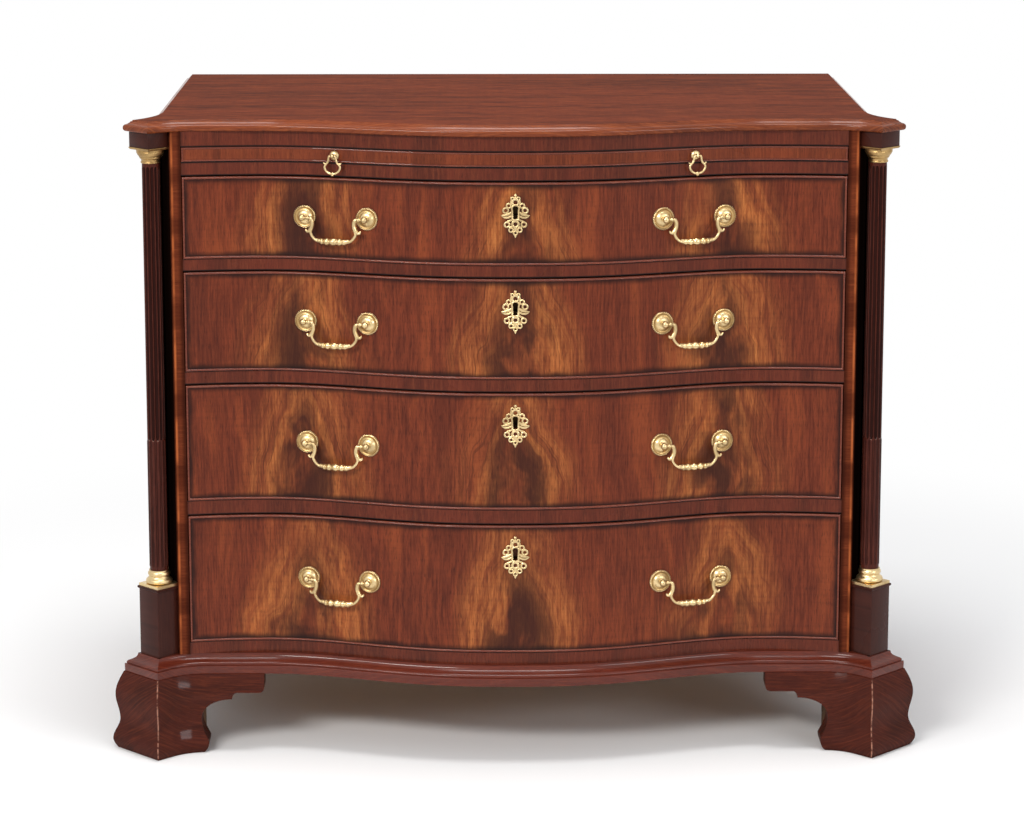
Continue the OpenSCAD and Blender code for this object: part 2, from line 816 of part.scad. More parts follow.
module rosette() {
    r = rosette_d / 2;
    rotate_extrude($fn = 64) polygon([
        [0, 0], [r, 0], [r, 1.4], [r - 1, 2.6], [r - 2.4, 2.6], [r - 3.2, 1.7], [r - 5.4, 1.5],
        [r - 7.4, 2.2], [r - 9.6, 3.8], [4, 4.6], [2.7, 5.4], [0, 5.4]
    ]);
}

// How far the curved front rises past a flat disc of radius r, square to the angle a at p
function rise_past(p, a, r) = max([
    for (u = [-r, 0, r]) let (x = p.x + u * cos(a)) (x - p.x) * sin(a) - (face_y(x) - p.y) * cos(a)
]);

// How deep the back of the drawer front lies under such a disc
function depth_under(p, a, r) = max([
    for (u = [-r, 0, r]) let (x = p.x + u * cos(a) - front_t * sin(a) * cos(a))
        (face_y(x) + front_t - p.y) * cos(a) - (x - p.x) * sin(a)
]);

module handle_post(k) {
    nut_t = 4;
    nut_r = 5.2;
    neck_z = 1.5;
    slope = slope_at(post_at(k).x);
    behind = depth_under(post_at(k), handle_angle, nut_r) + seat_gap;
    on_front(post_at(k), slope, 0)
        translate([0, 0, seat_gap + rise_past(post_at(k), slope, rosette_d / 2)]) rosette();
    on_front(post_at(k), handle_angle, 0) {
        difference() {
            union() {
                translate([0, 0, neck_z]) cylinder(h = pivot_out - neck_z, d = spindle_d + 1, $fn = 32);
                translate([0, 0, pivot_out]) sphere(d = ball_d, $fn = 48);
            }
            translate([0, 0, pivot_out]) rotate([0, 90, 0])
                cylinder(h = 2 * ball_d, d = pin_d + 2 * pin_gap, center = true, $fn = 32);
        }
        translate([0, 0, -behind - nut_t - 1])
            cylinder(h = behind + nut_t + neck_z + 2, d = spindle_d, $fn = 32);
        translate([0, 0, -behind - nut_t]) cylinder(h = nut_t, r = nut_r, $fn = 32);
    }
}

// Pierced escutcheon: each ring is [across, up, ring radius, hole radius] about the keyhole
escutcheon_rings = [
    [9, 9.8, 4.2, 1.7], [13, 3.4, 4.8, 2.2], [11.4, -15.7, 4.6, 2], [5.8, -23, 4, 1.6],
    [4, 19.5, 3, 0.9]
];

module escutcheon_plan() {
    difference() {
        union() {
            for (v = [7, -8]) translate([0, v]) circle(r = 7, $fn = 32);
            translate([-7, -8]) square([14, 15]);
            translate([0, 24.2]) circle(r = 2.2, $fn = 24);
            translate([-1.2, 14]) square([2.4, 9]);
            translate([0, 14]) circle(r = 5.6, $fn = 32);
            translate([0, -15.5]) circle(r = 6, $fn = 32);
            translate([0, -27]) circle(r = 3.6, $fn = 32);
            polygon([[-3, -28], [3, -28], [1.2, -33.5], [-1.2, -33.5]]);
            for (s = [-1, 1], e = escutcheon_rings)
                translate([s * e[0], e[1]]) circle(r = e[2], $fn = 32);
            for (s = [-1, 1]) scale([s, 1])
                polygon([[5, 0], [19.6, -2.4], [19.4, -4.8], [8, -13], [4, -10]]);
        }
        for (s = [-1, 1], e = escutcheon_rings) translate([s * e[0], e[1]]) circle(r = e[3], $fn = 24);
        translate([0, 14.6]) circle(r = 2.6, $fn = 24);
        translate([0, -15]) circle(r = 2.4, $fn = 24);
        translate([0, -27.2]) circle(r = 1.3, $fn = 24);
        translate([0, key_rise]) circle(r = key_r, $fn = 32);
        translate([-key_slot_w / 2, key_rise - key_slot_h]) square([key_slot_w, key_slot_h]);
    }
}

module drawer_mounts(i) {
    color(brass) {
        pair() translate([0, 0, handle_z(i)]) for (k = [-1, 1]) handle_post(k);
        translate([0, face_y(0), keyhole_z(i) - key_rise]) rotate([90, 0, 0])
            linear_extrude(height = plate_t) escutcheon_plan();
    }
}

module drawer_lock(i) {
    top_at = drawer_z(i) + drawer_h[i];
    plate_in = 2;
    color(old_brass) difference() {
        translate([-lock_w / 2, lock_y, top_at - lock_h + seat_gap])
            cube([lock_w, lock_d, lock_h - seat_gap]);
        translate([-bolt_w / 2 - side_gap / 2, bolt_y - seat_gap, top_at - bolt_h - plate_in])
            cube([bolt_w + side_gap, bolt_t + 2 * seat_gap, bolt_h + plate_in + past]);
        translate([0, 0, keyhole_z(i)]) key_cut(lock_y - past, bolt_y + bolt_t - lock_y);
    }
    color(iron) translate([0, lock_y, keyhole_z(i)]) rotate([-90, 0, 0])
        cylinder(h = bolt_y + bolt_t - lock_y, d = 2.4, $fn = 24);
}

module drawer_bolt(i) {
    color(iron) translate([-bolt_w / 2, bolt_y, drawer_z(i) + drawer_h[i] - bolt_h])
        cube([bolt_w, bolt_t, bolt_h]);
}

// A round bar of varying thickness along a path in the XZ plane, given as [x, z, radius]
bar_sides = 8;
function bar_turn(p, i) = let (
    a = p[max(i - 1, 0)],
    b = p[min(i + 1, len(p) - 1)],
    u = unit([b[0] - a[0], b[1] - a[1]])
) [-u.y, u.x];

module bar(path) {
    n = len(path);
    polyhedron(
        points = [for (i = [0 : n - 1], k = [0 : bar_sides - 1]) let (
            m = bar_turn(path, i),
            a = 360 * k / bar_sides,
            r = path[i][2]
        ) [path[i][0] + r * cos(a) * m.x, r * sin(a), path[i][1] + r * cos(a) * m.y]],
        faces = concat(
            [[for (k = [bar_sides - 1 : -1 : 0]) k]],
            [[for (k = [0 : bar_sides - 1]) (n - 1) * bar_sides + k]],
            [for (i = [0 : n - 2], k = [0 : bar_sides - 1]) let (j = (k + 1) % bar_sides)
                [i * bar_sides + k, i * bar_sides + j, (i + 1) * bar_sides + j, (i + 1) * bar_sides + k]]
        ),
        convexity = 6
    );
}

function both_ways(half) = concat(
    [for (i = [len(half) - 1 : -1 : 0]) [-half[i][0], half[i][1], half[i][2]]],
    [for (i = [(half[0][0] == 0 ? 1 : 0) : len(half) - 1]) half[i]]
);

// Turned grip: distance from its middle and radius
grip_turning = [
    [0, 5], [3, 4.3], [4.6, 2.9], [5.4, 3.5], [6.6, 3.3], [9, 4.7], [11.4, 3.8],
    [12.6, 2.8], [13.6, 3.4], [15.6, 3.7], [17.4, 2.6]
];

// Handles, drawn hanging, with the axis along X at the origin
bail_turn_r = 12;
knuckle_x = post_half - ball_d / 2 - 3.1;
bail_end = post_half - ball_d / 2 - seat_gap;
function bail_path() = let (r = arm_d / 2, cx = arm_x - bail_turn_r, cz = bail_turn_r - bail_drop)
    both_ways(concat(
        [for (g = grip_turning) [g[0], -bail_drop, g[1]]],
        [for (a = [15 : 25 : 90]) [cx + bail_turn_r * sin(a), cz - bail_turn_r * cos(a), r]],
        [[arm_x, -17, r + 0.3], [arm_x, -14, r], [arm_x, -3, r]],
        [[arm_x + 0.9, -0.9, r], [arm_x + 3, 0, r - 0.1], [knuckle_x - 1.2, 0, 2.7],
            [knuckle_x + 1.2, 0, 2.7], [bail_end, 0, 2]]
    ));

module bail_at(i) {
    color(brass) translate([handle_at.x, handle_at.y, handle_z(i)]) rotate([0, 0, handle_angle])
        translate([0, -pivot_out, 0]) {
            bar(bail_path());
            for (m = [0, 1]) mirror([m, 0, 0]) translate([bail_end, 0, 0]) rotate([0, 90, 0])
                cylinder(h = 0.75 * ball_d, d = pin_d, $fn = 32);
        }
}

// Brushing slide

module slide_board() {
    z_in = slide_bead;
    slide_rear_y = back_in_y - slide_rear_gap;
    color(veneer) {
        difference() {
            extrude_at(slide_z, slide_h)
                polygon(concat(
                    front_line(drawer_x, -1),
                    [[drawer_x, slide_rear_y], [-drawer_x, slide_rear_y]]
                ));
            extrude_at(slide_z + z_in, slide_h - 2 * z_in)
                polygon(concat(
                    front_line(drawer_x - z_in, -3), reversed(front_line(drawer_x - z_in, 0))
                ));
            pair() on_front([ring_x, face_y(ring_x)], ring_angle, ring_z)
                translate([0, 0, -front_t]) cylinder(h = 2 * front_t, d = 3 + 2 * pin_gap, $fn = 32);
        }
    }
}

module slide_posts() {
    color(brass) pair() on_front([ring_x, face_y(ring_x)], ring_angle, ring_z) {
        translate([0, 0, -front_t + 1]) cylinder(h = front_t, d = 3, $fn = 32);
        translate([0, 0, seat_gap]) rotate_extrude($fn = 48) polygon([
            [0, 0], [7, 0], [7, 1], [6.2, 2.6], [4.4, 3.8], [2.4, 4.4], [1.6, 5.4], [0, 5.4]
        ]);
        difference() {
            union() {
                translate([0, 0, 3]) cylinder(h = ring_out - 3, r = 1.7, $fn = 32);
                translate([0, 0, ring_out]) sphere(r = ring_ball_r, $fn = 32);
            }
            translate([0, 0, ring_out]) rotate([0, 90, 0])
                cylinder(h = 12, d = ring_pin_d + 2 * pin_gap, center = true, $fn = 24);
        }
    }
}

// The ring hangs from two short pins and swells to a drop at its foot
ring_neck = 5.4;
ring_wire = 1.6;
ring_pin_d = 1.8;
ring_ball_r = 2.9;
function ring_path() = both_ways(concat(
    [[0, -ring_drop - ring_r - 0.6, 2.6]],
    [for (a = [14 : 19 : 147])
        [ring_r * sin(a), -ring_drop - ring_r * cos(a), a < 20 ? 1.9 : ring_wire]],
    [[ring_neck + 0.2, -3.2, ring_wire], [ring_neck - 0.2, -1.1, ring_wire],
        [ring_neck - 1.2, 0, 1.4], [ring_ball_r + seat_gap, 0, 1.3]]
));

module ring_at() {
    color(brass) translate([ring_x, face_y(ring_x), ring_z]) rotate([0, 0, ring_angle])
        translate([0, -ring_out, 0]) {
            bar(ring_path());
            for (m = [0, 1]) mirror([m, 0, 0]) translate([ring_ball_r + seat_gap, 0, 0])
                mirror([1, 0, 0]) rotate([0, 90, 0])
                    cylinder(h = ring_ball_r - 0.4, d = ring_pin_d, $fn = 24);
        }
}

module slide_ring_left() {
    mirror([1, 0, 0]) ring_at();
}

module slide_ring_right() {
    ring_at();
}

top();
side_left();
side_right();
backboards();
case_bottom();
stiles();
frieze_rail();
slide_rail();
drawer_rails();
bottom_rail();
dust_boards();
drawer_guides();
base_moulding();
foot_front_left();
foot_front_right();
foot_back_left();
foot_back_right();
column_left();
column_right();
column_capitals();
column_bases();
pedestals();
frieze_blocks();
slide_board();
slide_posts();
slide_ring_left();
slide_ring_right();
drawer_front(0);  // drawer_1_front
drawer_beads(0);  // drawer_1_beads
drawer_box(0);  // drawer_1_box
drawer_mounts(0);  // drawer_1_mounts
drawer_lock(0);  // drawer_1_lock
drawer_bolt(0);  // drawer_1_bolt
mirror([1, 0, 0]) bail_at(0);  // drawer_1_bail_left
bail_at(0);  // drawer_1_bail_right
drawer_front(1);  // drawer_2_front
drawer_beads(1);  // drawer_2_beads
drawer_box(1);  // drawer_2_box
drawer_mounts(1);  // drawer_2_mounts
drawer_lock(1);  // drawer_2_lock
drawer_bolt(1);  // drawer_2_bolt
mirror([1, 0, 0]) bail_at(1);  // drawer_2_bail_left
bail_at(1);  // drawer_2_bail_right
drawer_front(2);  // drawer_3_front
drawer_beads(2);  // drawer_3_beads
drawer_box(2);  // drawer_3_box
drawer_mounts(2);  // drawer_3_mounts
drawer_lock(2);  // drawer_3_lock
drawer_bolt(2);  // drawer_3_bolt
mirror([1, 0, 0]) bail_at(2);  // drawer_3_bail_left
bail_at(2);  // drawer_3_bail_right
drawer_front(3);  // drawer_4_front
drawer_beads(3);  // drawer_4_beads
drawer_box(3);  // drawer_4_box
drawer_mounts(3);  // drawer_4_mounts
drawer_lock(3);  // drawer_4_lock
drawer_bolt(3);  // drawer_4_bolt
mirror([1, 0, 0]) bail_at(3);  // drawer_4_bail_left
bail_at(3);  // drawer_4_bail_right
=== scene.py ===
"""Dresses the serpentine chest of drawers: veneers, mouldings, corner columns and brasses."""
import math

import bmesh
import bpy
from bpy.props import (
    FloatProperty, FloatVectorProperty, IntProperty, PointerProperty)
from mathutils import Matrix, Vector


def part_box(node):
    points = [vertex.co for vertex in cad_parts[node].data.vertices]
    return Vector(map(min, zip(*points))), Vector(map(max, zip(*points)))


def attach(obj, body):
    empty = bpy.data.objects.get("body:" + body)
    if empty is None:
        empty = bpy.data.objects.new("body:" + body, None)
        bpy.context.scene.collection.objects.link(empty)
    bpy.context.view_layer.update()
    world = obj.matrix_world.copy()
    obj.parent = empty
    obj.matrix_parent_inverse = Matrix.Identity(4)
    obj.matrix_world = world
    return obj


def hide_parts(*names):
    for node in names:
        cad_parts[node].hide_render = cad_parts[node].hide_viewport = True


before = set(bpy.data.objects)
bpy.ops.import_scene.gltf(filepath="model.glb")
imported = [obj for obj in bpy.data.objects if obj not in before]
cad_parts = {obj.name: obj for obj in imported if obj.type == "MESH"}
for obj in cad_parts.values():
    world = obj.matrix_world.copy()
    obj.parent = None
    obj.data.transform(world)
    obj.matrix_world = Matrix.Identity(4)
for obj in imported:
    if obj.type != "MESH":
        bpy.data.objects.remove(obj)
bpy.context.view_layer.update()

bl_info = {
    "name": "Serpentine Chest Dressing",
    "version": (1, 0, 0),
    "blender": (4, 5, 0),
    "location": "3D Viewport > Sidebar > Chest",
    "description": "Makes the veneers, mouldings, columns and brasses of a serpentine chest",
    "category": "Object",
}

MM = 0.001
GAP = 0.0003
DRAWERS = (1, 2, 3, 4)
SIDES = (("left", -1), ("right", 1))

# Turns of the grain, which otherwise stands upright
ALONG_X = (0, math.pi / 2, 0)
ALONG_Y = (math.pi / 2, 0, 0)


def paint(red, green, blue):
    """A colour given as display values from 0 to 255, turned into the linear values shaders use."""
    def linear(value):
        share = value / 255
        return share / 12.92 if share <= 0.04045 else ((share + 0.055) / 1.055) ** 2.4
    return (linear(red), linear(green), linear(blue), 1.0)


def length(name, description, default):
    return FloatProperty(name=name, description=description, default=default, min=0.0,
                         subtype="DISTANCE", unit="LENGTH", precision=4)


def colour(name, description, *display):
    return FloatVectorProperty(name=name, description=description, size=4, min=0.0, max=1.0,
                               subtype="COLOR", default=paint(*display))


def heights(node):
    """Heights of the lowest and highest points of a solid"""
    low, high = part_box(node)
    return low[2], high[2]


# The case as the frame gives it
SIDE_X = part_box("side_right")[1][0]
FLOOR_OF_CASE = heights("side_right")[0]
BACK_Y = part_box("backboards")[1][1]
TOP_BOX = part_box("top")
FRONT_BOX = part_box("drawer_1_front")
DRAWER_X = FRONT_BOX[1][0]
DRAWER_Z = {n: heights(f"drawer_{n}_front") for n in DRAWERS}
SLIDE_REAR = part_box("slide_board")[1][1]
SLIDE_Z = heights("slide_board")
FRIEZE_Z = heights("frieze_rail")
PEDESTAL_TOP = heights("pedestals")[1]


class CHEST_PG_shape(bpy.types.PropertyGroup):
    """Sizes of the serpentine case, its top, base and feet"""

    bow: length("Bow", "How far the middle stands forward of the ends", 0.0525)
    dip: length("Dip", "How far the hollows lie behind the ends", 0.0126)
    dip_x: length("Dip distance", "Distance of each hollow from the middle", 0.340)
    wave_power: FloatProperty(name="Wave power", description="Breadth of the middle bow",
                              default=1.27, min=1.0, max=1.6)
    stile_x: length("Stile arris", "Distance of the stiles' front arrises from the middle", 0.466)
    station: length("Station", "Spacing of the sections along the front", 0.006)
    line_out: length("Moulding line", "Stand-off of the moulding line from the faces", 0.004)
    block_w: length("Block width", "Width of the blocks that stand cornerwise", 0.040)
    column_out: length("Column stand-off", "From the sides to the column axes", 0.0095)
    column_back: length("Column set-back", "From the ends of the front to the axes", 0.0093)
    ear_start: length("Ear start", "Where the mouldings turn out to the corners", 0.425)
    ear_end: length("Ear end", "Where the ears run back into the sides", 0.100)
    ear_steps: IntProperty(name="Ear steps", description="Sections in each bend of an ear",
                           default=18, min=4, max=40)
    lip_out: length("Lip", "How far the top's lip stands outside the blocks", 0.0057)
    lip_side: length("Side lip", "Extra stand-off of the lip along the sides", 0.0033)
    base_out: length("Base stand-off", "How far the base moulding stands out", 0.016)
    base_in: length("Base frame", "Width of the base frame inside the blocks' faces", 0.018)
    wing: length("Foot wing", "Length of each bracket from the corner's axis", 0.145)
    foot_in: length("Foot depth", "Depth of the brackets inside the blocks' faces", 0.008)
    front_t: length("Front thickness", "Thickness of the drawer fronts", 0.022)
    bead_t: length("Bead thickness", "Thickness of the cock beads", 0.0032)
    bead_proud: length("Bead stand-off", "How far the cock beads stand proud", 0.002)
    bead_d: length("Bead depth", "Depth of the cock beads", 0.0097)
    slide_bead: length("Slide bead", "Width of the bead round the slide's front", 0.0024)


class CHEST_PG_brass(bpy.types.PropertyGroup):
    """Sizes of the brasses and columns"""

    handle_x: length("Handle distance", "Distance of the handles from the middle", 0.243)
    post_pitch: length("Post pitch", "Distance between the posts of a handle", 0.089)
    post_rise: length("Post rise", "Height of the posts above the drawer's middle", 0.002)
    rosette_d: length("Rosette", "Diameter of the rosettes", 0.0325)
    pivot_out: length("Pivot stand-off", "From the front to the handle's axis", 0.012)
    ball_d: length("Ball", "Diameter of the ball on each post", 0.0096)
    grip_drop: length("Grip drop", "From the axis down to the grip", 0.0315)
    plate_drop: length("Plate drop", "From the drawer's top to the escutcheon's middle", 0.041)
    ring_x: length("Ring distance", "Distance of the slide's rings from the middle", 0.244)
    ring_out: length("Ring stand-off", "From the slide to the ring's axis", 0.009)
    ring_r: length("Ring radius", "Radius of the slide's rings", 0.010)
    ring_drop: length("Ring drop", "From the axis down to the ring's centre", 0.0135)
    flutes: IntProperty(name="Flutes", description="Flutes round each column", default=12, min=8)
    reed_h: length("Reed height", "Height of the reeds in the flutes", 0.185)
    shaft_foot: length("Shaft foot", "Diameter of the shaft at its foot", 0.0252)
    shaft_top: length("Shaft top", "Diameter of the shaft at its top", 0.0234)


class CHEST_PG_finish(bpy.types.PropertyGroup):
    """Colours of the woods and metals"""

    veneer: colour("Veneer", "Body colour of the flame veneer", 116, 52, 30)
    gold: colour("Flame", "Light streaks of the flame veneer", 208, 130, 68)
    cloud: colour("Cloud", "Dark clouds of the flame veneer", 44, 20, 14)
    mahogany: colour("Mahogany", "Solid mahogany of the mouldings and feet", 92, 36, 24)
    dark: colour("Dark mahogany", "Columns and pedestals", 58, 26, 19)
    bead: colour("Bead", "Cock beads", 106, 51, 37)
    # darkened as painted shade against the light from above
    top: colour("Top", "Straight-grained top", 94, 40, 22)
    oak: colour("Oak", "Drawer linings", 150, 118, 78)
    pine: colour("Pine", "Back and inside of the case", 158, 118, 74)
    brass: colour("Brass", "Bright lacquered brass", 226, 200, 150)
    old_brass: colour("Old brass", "Darker brass of the capitals", 182, 150, 100)
    iron: colour("Iron", "Bolts", 82, 78, 74)
    floor: colour("Floor", "Studio floor", 246, 246, 246)


def shape():
    return bpy.context.scene.chest_shape


def fittings():
    return bpy.context.scene.chest_brass


def finish():
    return bpy.context.scene.chest_finish


# Plan lines

def front_end_y():
    """The ends of the drawer fronts, from the frame's own front"""
    return FRONT_BOX[0][1] + shape().bow


def face_y(x):
    """The serpentine line of the drawer faces"""
    s = shape()
    x = abs(x)
    if x > s.dip_x:
        return front_end_y() + s.dip * (1 - ((x - s.dip_x) / (s.stile_x - s.dip_x)) ** 2)
    middle = (s.dip - s.bow) / 2
    swing = (s.dip + s.bow) / 2
    return front_end_y() + middle - swing * math.cos(math.pi * (x / s.dip_x) ** s.wave_power)


def slope_at(x):
    step = 0.001
    return math.atan2(face_y(x + step) - face_y(x - step), 2 * step)


def stations(half):
    """Places along the front from -half to half, close enough for a smooth curve"""
    count = max(2, round(2 * half / shape().station))
    return [half * (2 * i / count - 1) for i in range(count + 1)]


def quadratic(a, b, c, steps):
    """A quadratic curve without its first point"""
    points = []
    for i in range(1, steps + 1):
        t = i / steps
        points.append(a * (1 - t) ** 2 + b * 2 * t * (1 - t) + c * t * t)
    return points


def cubic(a, b, c, d, steps):
    """A cubic curve without its first point"""
    points = []
    for i in range(1, steps + 1):
        t = i / steps
        s = 1 - t
        points.append(a * s ** 3 + b * 3 * s * s * t + c * 3 * s * t * t + d * t ** 3)
    return points


def mitred(path, out):
    """A plan line moved sideways, to the right of its direction, with mitred corners"""
    def side(a, b):
        along = (b - a).normalized()
        return Vector((along.y, -along.x))
    moved = []
    last = len(path) - 1
    for i, point in enumerate(path):
        before = side(path[max(i - 1, 0)], path[max(i, 1)])
        after = side(path[min(i, last - 1)], path[min(i + 1, last)])
        moved.append(point + (before + after) * (out / (1 + before.dot(after))))
    return moved


def column_at():
    s = shape()
    return Vector((SIDE_X + s.column_out, front_end_y() + s.column_back))


def half_diagonal():
    return shape().block_w / math.sqrt(2)


def line_y():
    return front_end_y() + shape().dip - shape().line_out


def ear_path(extra=0.0):
    """The right-hand ear: from the front line round the block's corner to the side"""
    s = shape()
    centre = column_at()
    front = centre - Vector((0, half_diagonal()))
    outer = centre + Vector((half_diagonal(), 0))
    start = Vector((s.ear_start, line_y()))
    knee = Vector((front.x - (line_y() - front.y), line_y()))
    end_x = SIDE_X + extra
    turn = Vector((end_x, outer.y + outer.x - end_x))
    end = Vector((end_x, front_end_y() + s.ear_end))
    return ([start] + quadratic(start, knee, front, s.ear_steps)
            + [outer] + quadratic(outer, turn, end, s.ear_steps))


def right_path(rear_y, extra=0.0):
    s = shape()
    count = round(s.dip_x / s.station)
    front = [Vector((s.dip_x * i / count, face_y(s.dip_x * i / count) - s.line_out))
             for i in range(count + 1)]
    return front + ear_path(extra) + [Vector((SIDE_X + extra, rear_y))]


def whole_path(rear_y, extra=0.0):
    right = right_path(rear_y, extra)
    left = [Vector((-p.x, p.y)) for p in reversed(right)]
    return left + right[1:]


def smooth_run(points, steps=4):
    """A smooth curve through the given points"""
    run = [Vector(p) for p in points]
    out = [run[0]]
    for i in range(len(run) - 1):
        a = run[max(i - 1, 0)]
        b, c = run[i], run[i + 1]
        d = run[min(i + 2, len(run) - 1)]
        out += cubic(b, b + (c - a) / 6, c - (d - b) / 6, c, steps)
    return out


# Mesh helpers

def around(ring):
    """Each neighbouring pair of a closed ring"""
    return zip(ring, ring[1:] + ring[:1])


def first_ring(bm, points):
    verts = [bm.verts.new(p) for p in points]
    for pair in around(verts):
        bm.edges.new(pair)
    return verts


def next_ring(bm, ring, points):
    """Extrudes the ring's edges and sets the new ring on the given points"""
    edges = [bm.edges.get(pair) for pair in around(ring)]
    made = bmesh.ops.extrude_edge_only(bm, edges=edges)["geom"]
    place = {vert: i for i, vert in enumerate(ring)}
    fresh = [None] * len(ring)
    for vert in made:
        if isinstance(vert, bmesh.types.BMVert):
            old = next(e.other_vert(vert) for e in vert.link_edges if e.other_vert(vert) in place)
            fresh[place[old]] = vert
    for vert, point in zip(fresh, points):
        vert.co = point
    return fresh


def loft(bm, rings, caps=True):
    """Extrudes one closed section through all the rings of points"""
    start = ring = first_ring(bm, rings[0])
    for points in rings[1:]:
        ring = next_ring(bm, ring, points)
    if caps:
        for end in (start, ring):
            edges = [bm.edges.get(pair) for pair in around(end)]
            bmesh.ops.contextual_create(bm, geom=edges)


def along_path(path, section):
    """Rings of a moulding along a plan line. Each point of the section is (out, up)."""
    lines = [mitred(path, out) for out, up in section]
    levels = [up for out, up in section]
    return [[Vector((line[i].x, line[i].y, up)) for line, up in zip(lines, levels)]
            for i in range(len(path))]


def prism(bm, outline, low, high):
    loft(bm, [[Vector((p[0], p[1], z)) for p in outline] for z in (low, high)])


def box(bm, low, high):
    prism(bm, [(low[0], low[1]), (high[0], low[1]), (high[0], high[1]), (low[0], high[1])],
          low[2], high[2])


def spun(bm, profile, place, steps):
    """Turns a profile of (radius, height) about the local Z axis"""
    ring = [bm.verts.new((r, 0, h)) for r, h in profile]
    edges = [bm.edges.new(pair) for pair in zip(ring, ring[1:])]
    bmesh.ops.spin(bm, geom=ring + edges, cent=(0, 0, 0), axis=(0, 0, 1), angle=math.tau,
                   steps=steps, use_merge=True, use_duplicate=False)
    found = set(ring)
    grown = list(ring)
    while grown:
        for edge in grown.pop().link_edges:
            for vert in edge.verts:
                if vert not in found:
                    found.add(vert)
                    grown.append(vert)
    verts = list(found)
    bmesh.ops.remove_doubles(bm, verts=verts, dist=1e-6)
    bmesh.ops.transform(bm, matrix=place, verts=[v for v in verts if v.is_valid])


def ball(bm, radius, place, segments):
    bmesh.ops.create_uvsphere(bm, u_segments=segments, v_segments=segments // 2, radius=radius,
                              matrix=place)


def tube(bm, points, radii, place, sides):
    """A round bar of varying thickness through the points"""
    turns = [math.tau * k / sides for k in range(sides)]
    rings = []
    across = None
    for i, point in enumerate(points):
        along = (points[min(i + 1, len(points) - 1)] - points[max(i - 1, 0)]).normalized()
        if across is None:
            across = along.orthogonal().normalized()
        across = (across - along * across.dot(along)).normalized()
        other = along.cross(across)
        rings.append([place @ (point + (across * math.cos(a) + other * math.sin(a)) * radii[i])
                      for a in turns])
    loft(bm, rings)


def flat_tube(bm, line, radii, place, sides):
    """A tube along a line in the local XY plane, with all its measures in millimetres"""
    tube(bm, [Vector((x, y, 0)) * MM for x, y in line], [r * MM for r in radii], place, sides)


def pin(bm, start, end, radius, place, sides):
    """A straight bar along the local Z axis"""
    tube(bm, [Vector((0, 0, start)), Vector((0, 0, end))], [radius, radius], place, sides)


def bevel(bm, edges, width, segments=2):
    bmesh.ops.bevel(bm, geom=edges, offset=width, offset_type="OFFSET", segments=segments,
                    profile=0.5, affect="EDGES", material=-1, clamp_overlap=True)


def upright_edges(bm, tall, beyond_x):
    """Edges that rise by more than a height and lie beyond a place across the chest"""
    return [e for e in bm.edges if abs(e.verts[0].co.z - e.verts[1].co.z) > tall
            and min(v.co.x for v in e.verts) > beyond_x]


def sharp_edges(bm):
    limit = math.radians(40)
    return [e for e in bm.edges if len(e.link_faces) == 2 and e.calc_face_angle(0) > limit]


def to_side(bm, sign):
    """Mirrors what was built for the right-hand side where the sign is -1"""
    bmesh.ops.scale(bm, vec=(sign, 1, 1), verts=bm.verts[:])


def mirror_copy(bm):
    """Adds the mirror image across the middle of the chest"""
    made = bmesh.ops.duplicate(bm, geom=bm.verts[:] + bm.edges[:] + bm.faces[:])["geom"]
    verts = [g for g in made if isinstance(g, bmesh.types.BMVert)]
    faces = [g for g in made if isinstance(g, bmesh.types.BMFace)]
    bmesh.ops.scale(bm, vec=(-1, 1, 1), verts=verts)
    bmesh.ops.reverse_faces(bm, faces=faces)


def write_mesh(bm, mesh, crease=32):
    """Merges doubles, turns the faces outwards, marks the creases and fills the mesh"""
    bmesh.ops.remove_doubles(bm, verts=bm.verts[:], dist=2e-6)
    bmesh.ops.recalc_face_normals(bm, faces=bm.faces[:])
    limit = math.radians(crease)
    for face in bm.faces:
        face.smooth = True
    for edge in bm.edges:
        edge.smooth = len(edge.link_faces) == 2 and edge.calc_face_angle(0) < limit
    bm.to_mesh(mesh)
    bm.free()


def link(name, data):
    made = bpy.data.objects.new(name, data)
    bpy.context.scene.collection.objects.link(made)
    return made


def add_piece(name, bm, slot, *materials, nodes=(), body="case", crease=32, sign=1):
    """Makes the finished piece, sets it on its body and hides the solids that it stands for"""
    to_side(bm, sign)
    mesh = bpy.data.meshes.new(name)
    write_mesh(bm, mesh, crease)
    for material in materials:
        mesh.materials.append(material)
    piece = link(name, mesh)
    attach(piece, body)
    if nodes:
        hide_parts(*nodes)
    return piece


def carve(piece, make_cutters, sign=1):
    """Cuts shapes out of a piece and keeps the result as its mesh"""
    bm = bmesh.new()
    make_cutters(bm)
    to_side(bm, sign)
    cutter = link("cutter", bpy.data.meshes.new("cutter"))
    write_mesh(bm, cutter.data)
    cut = piece.modifiers.new("cut", "BOOLEAN")
    cut.operation = "DIFFERENCE"
    cut.solver = "EXACT"
    cut.object = cutter
    graph = bpy.context.evaluated_depsgraph_get()
    result = bpy.data.meshes.new_from_object(piece.evaluated_get(graph))
    piece.modifiers.remove(cut)
    spent = (piece.data, cutter.data)
    piece.data = result
    bpy.data.objects.remove(cutter)
    for mesh in spent:
        bpy.data.meshes.remove(mesh)
    bm = bmesh.new()
    bm.from_mesh(result)
    write_mesh(bm, result)


# Node tools

class Value:
    """The value of a node's socket, which takes +, -, * and abs like a number"""

    def __init__(self, graph, socket):
        self.graph = graph
        self.socket = socket

    def __add__(self, other):
        return self.graph.math("ADD", self, other)

    def __sub__(self, other):
        return self.graph.math("SUBTRACT", self, other)

    def __rsub__(self, other):
        return self.graph.math("SUBTRACT", other, self)

    def __mul__(self, other):
        return self.graph.math("MULTIPLY", self, other)

    def __abs__(self):
        return self.graph.math("ABSOLUTE", self)


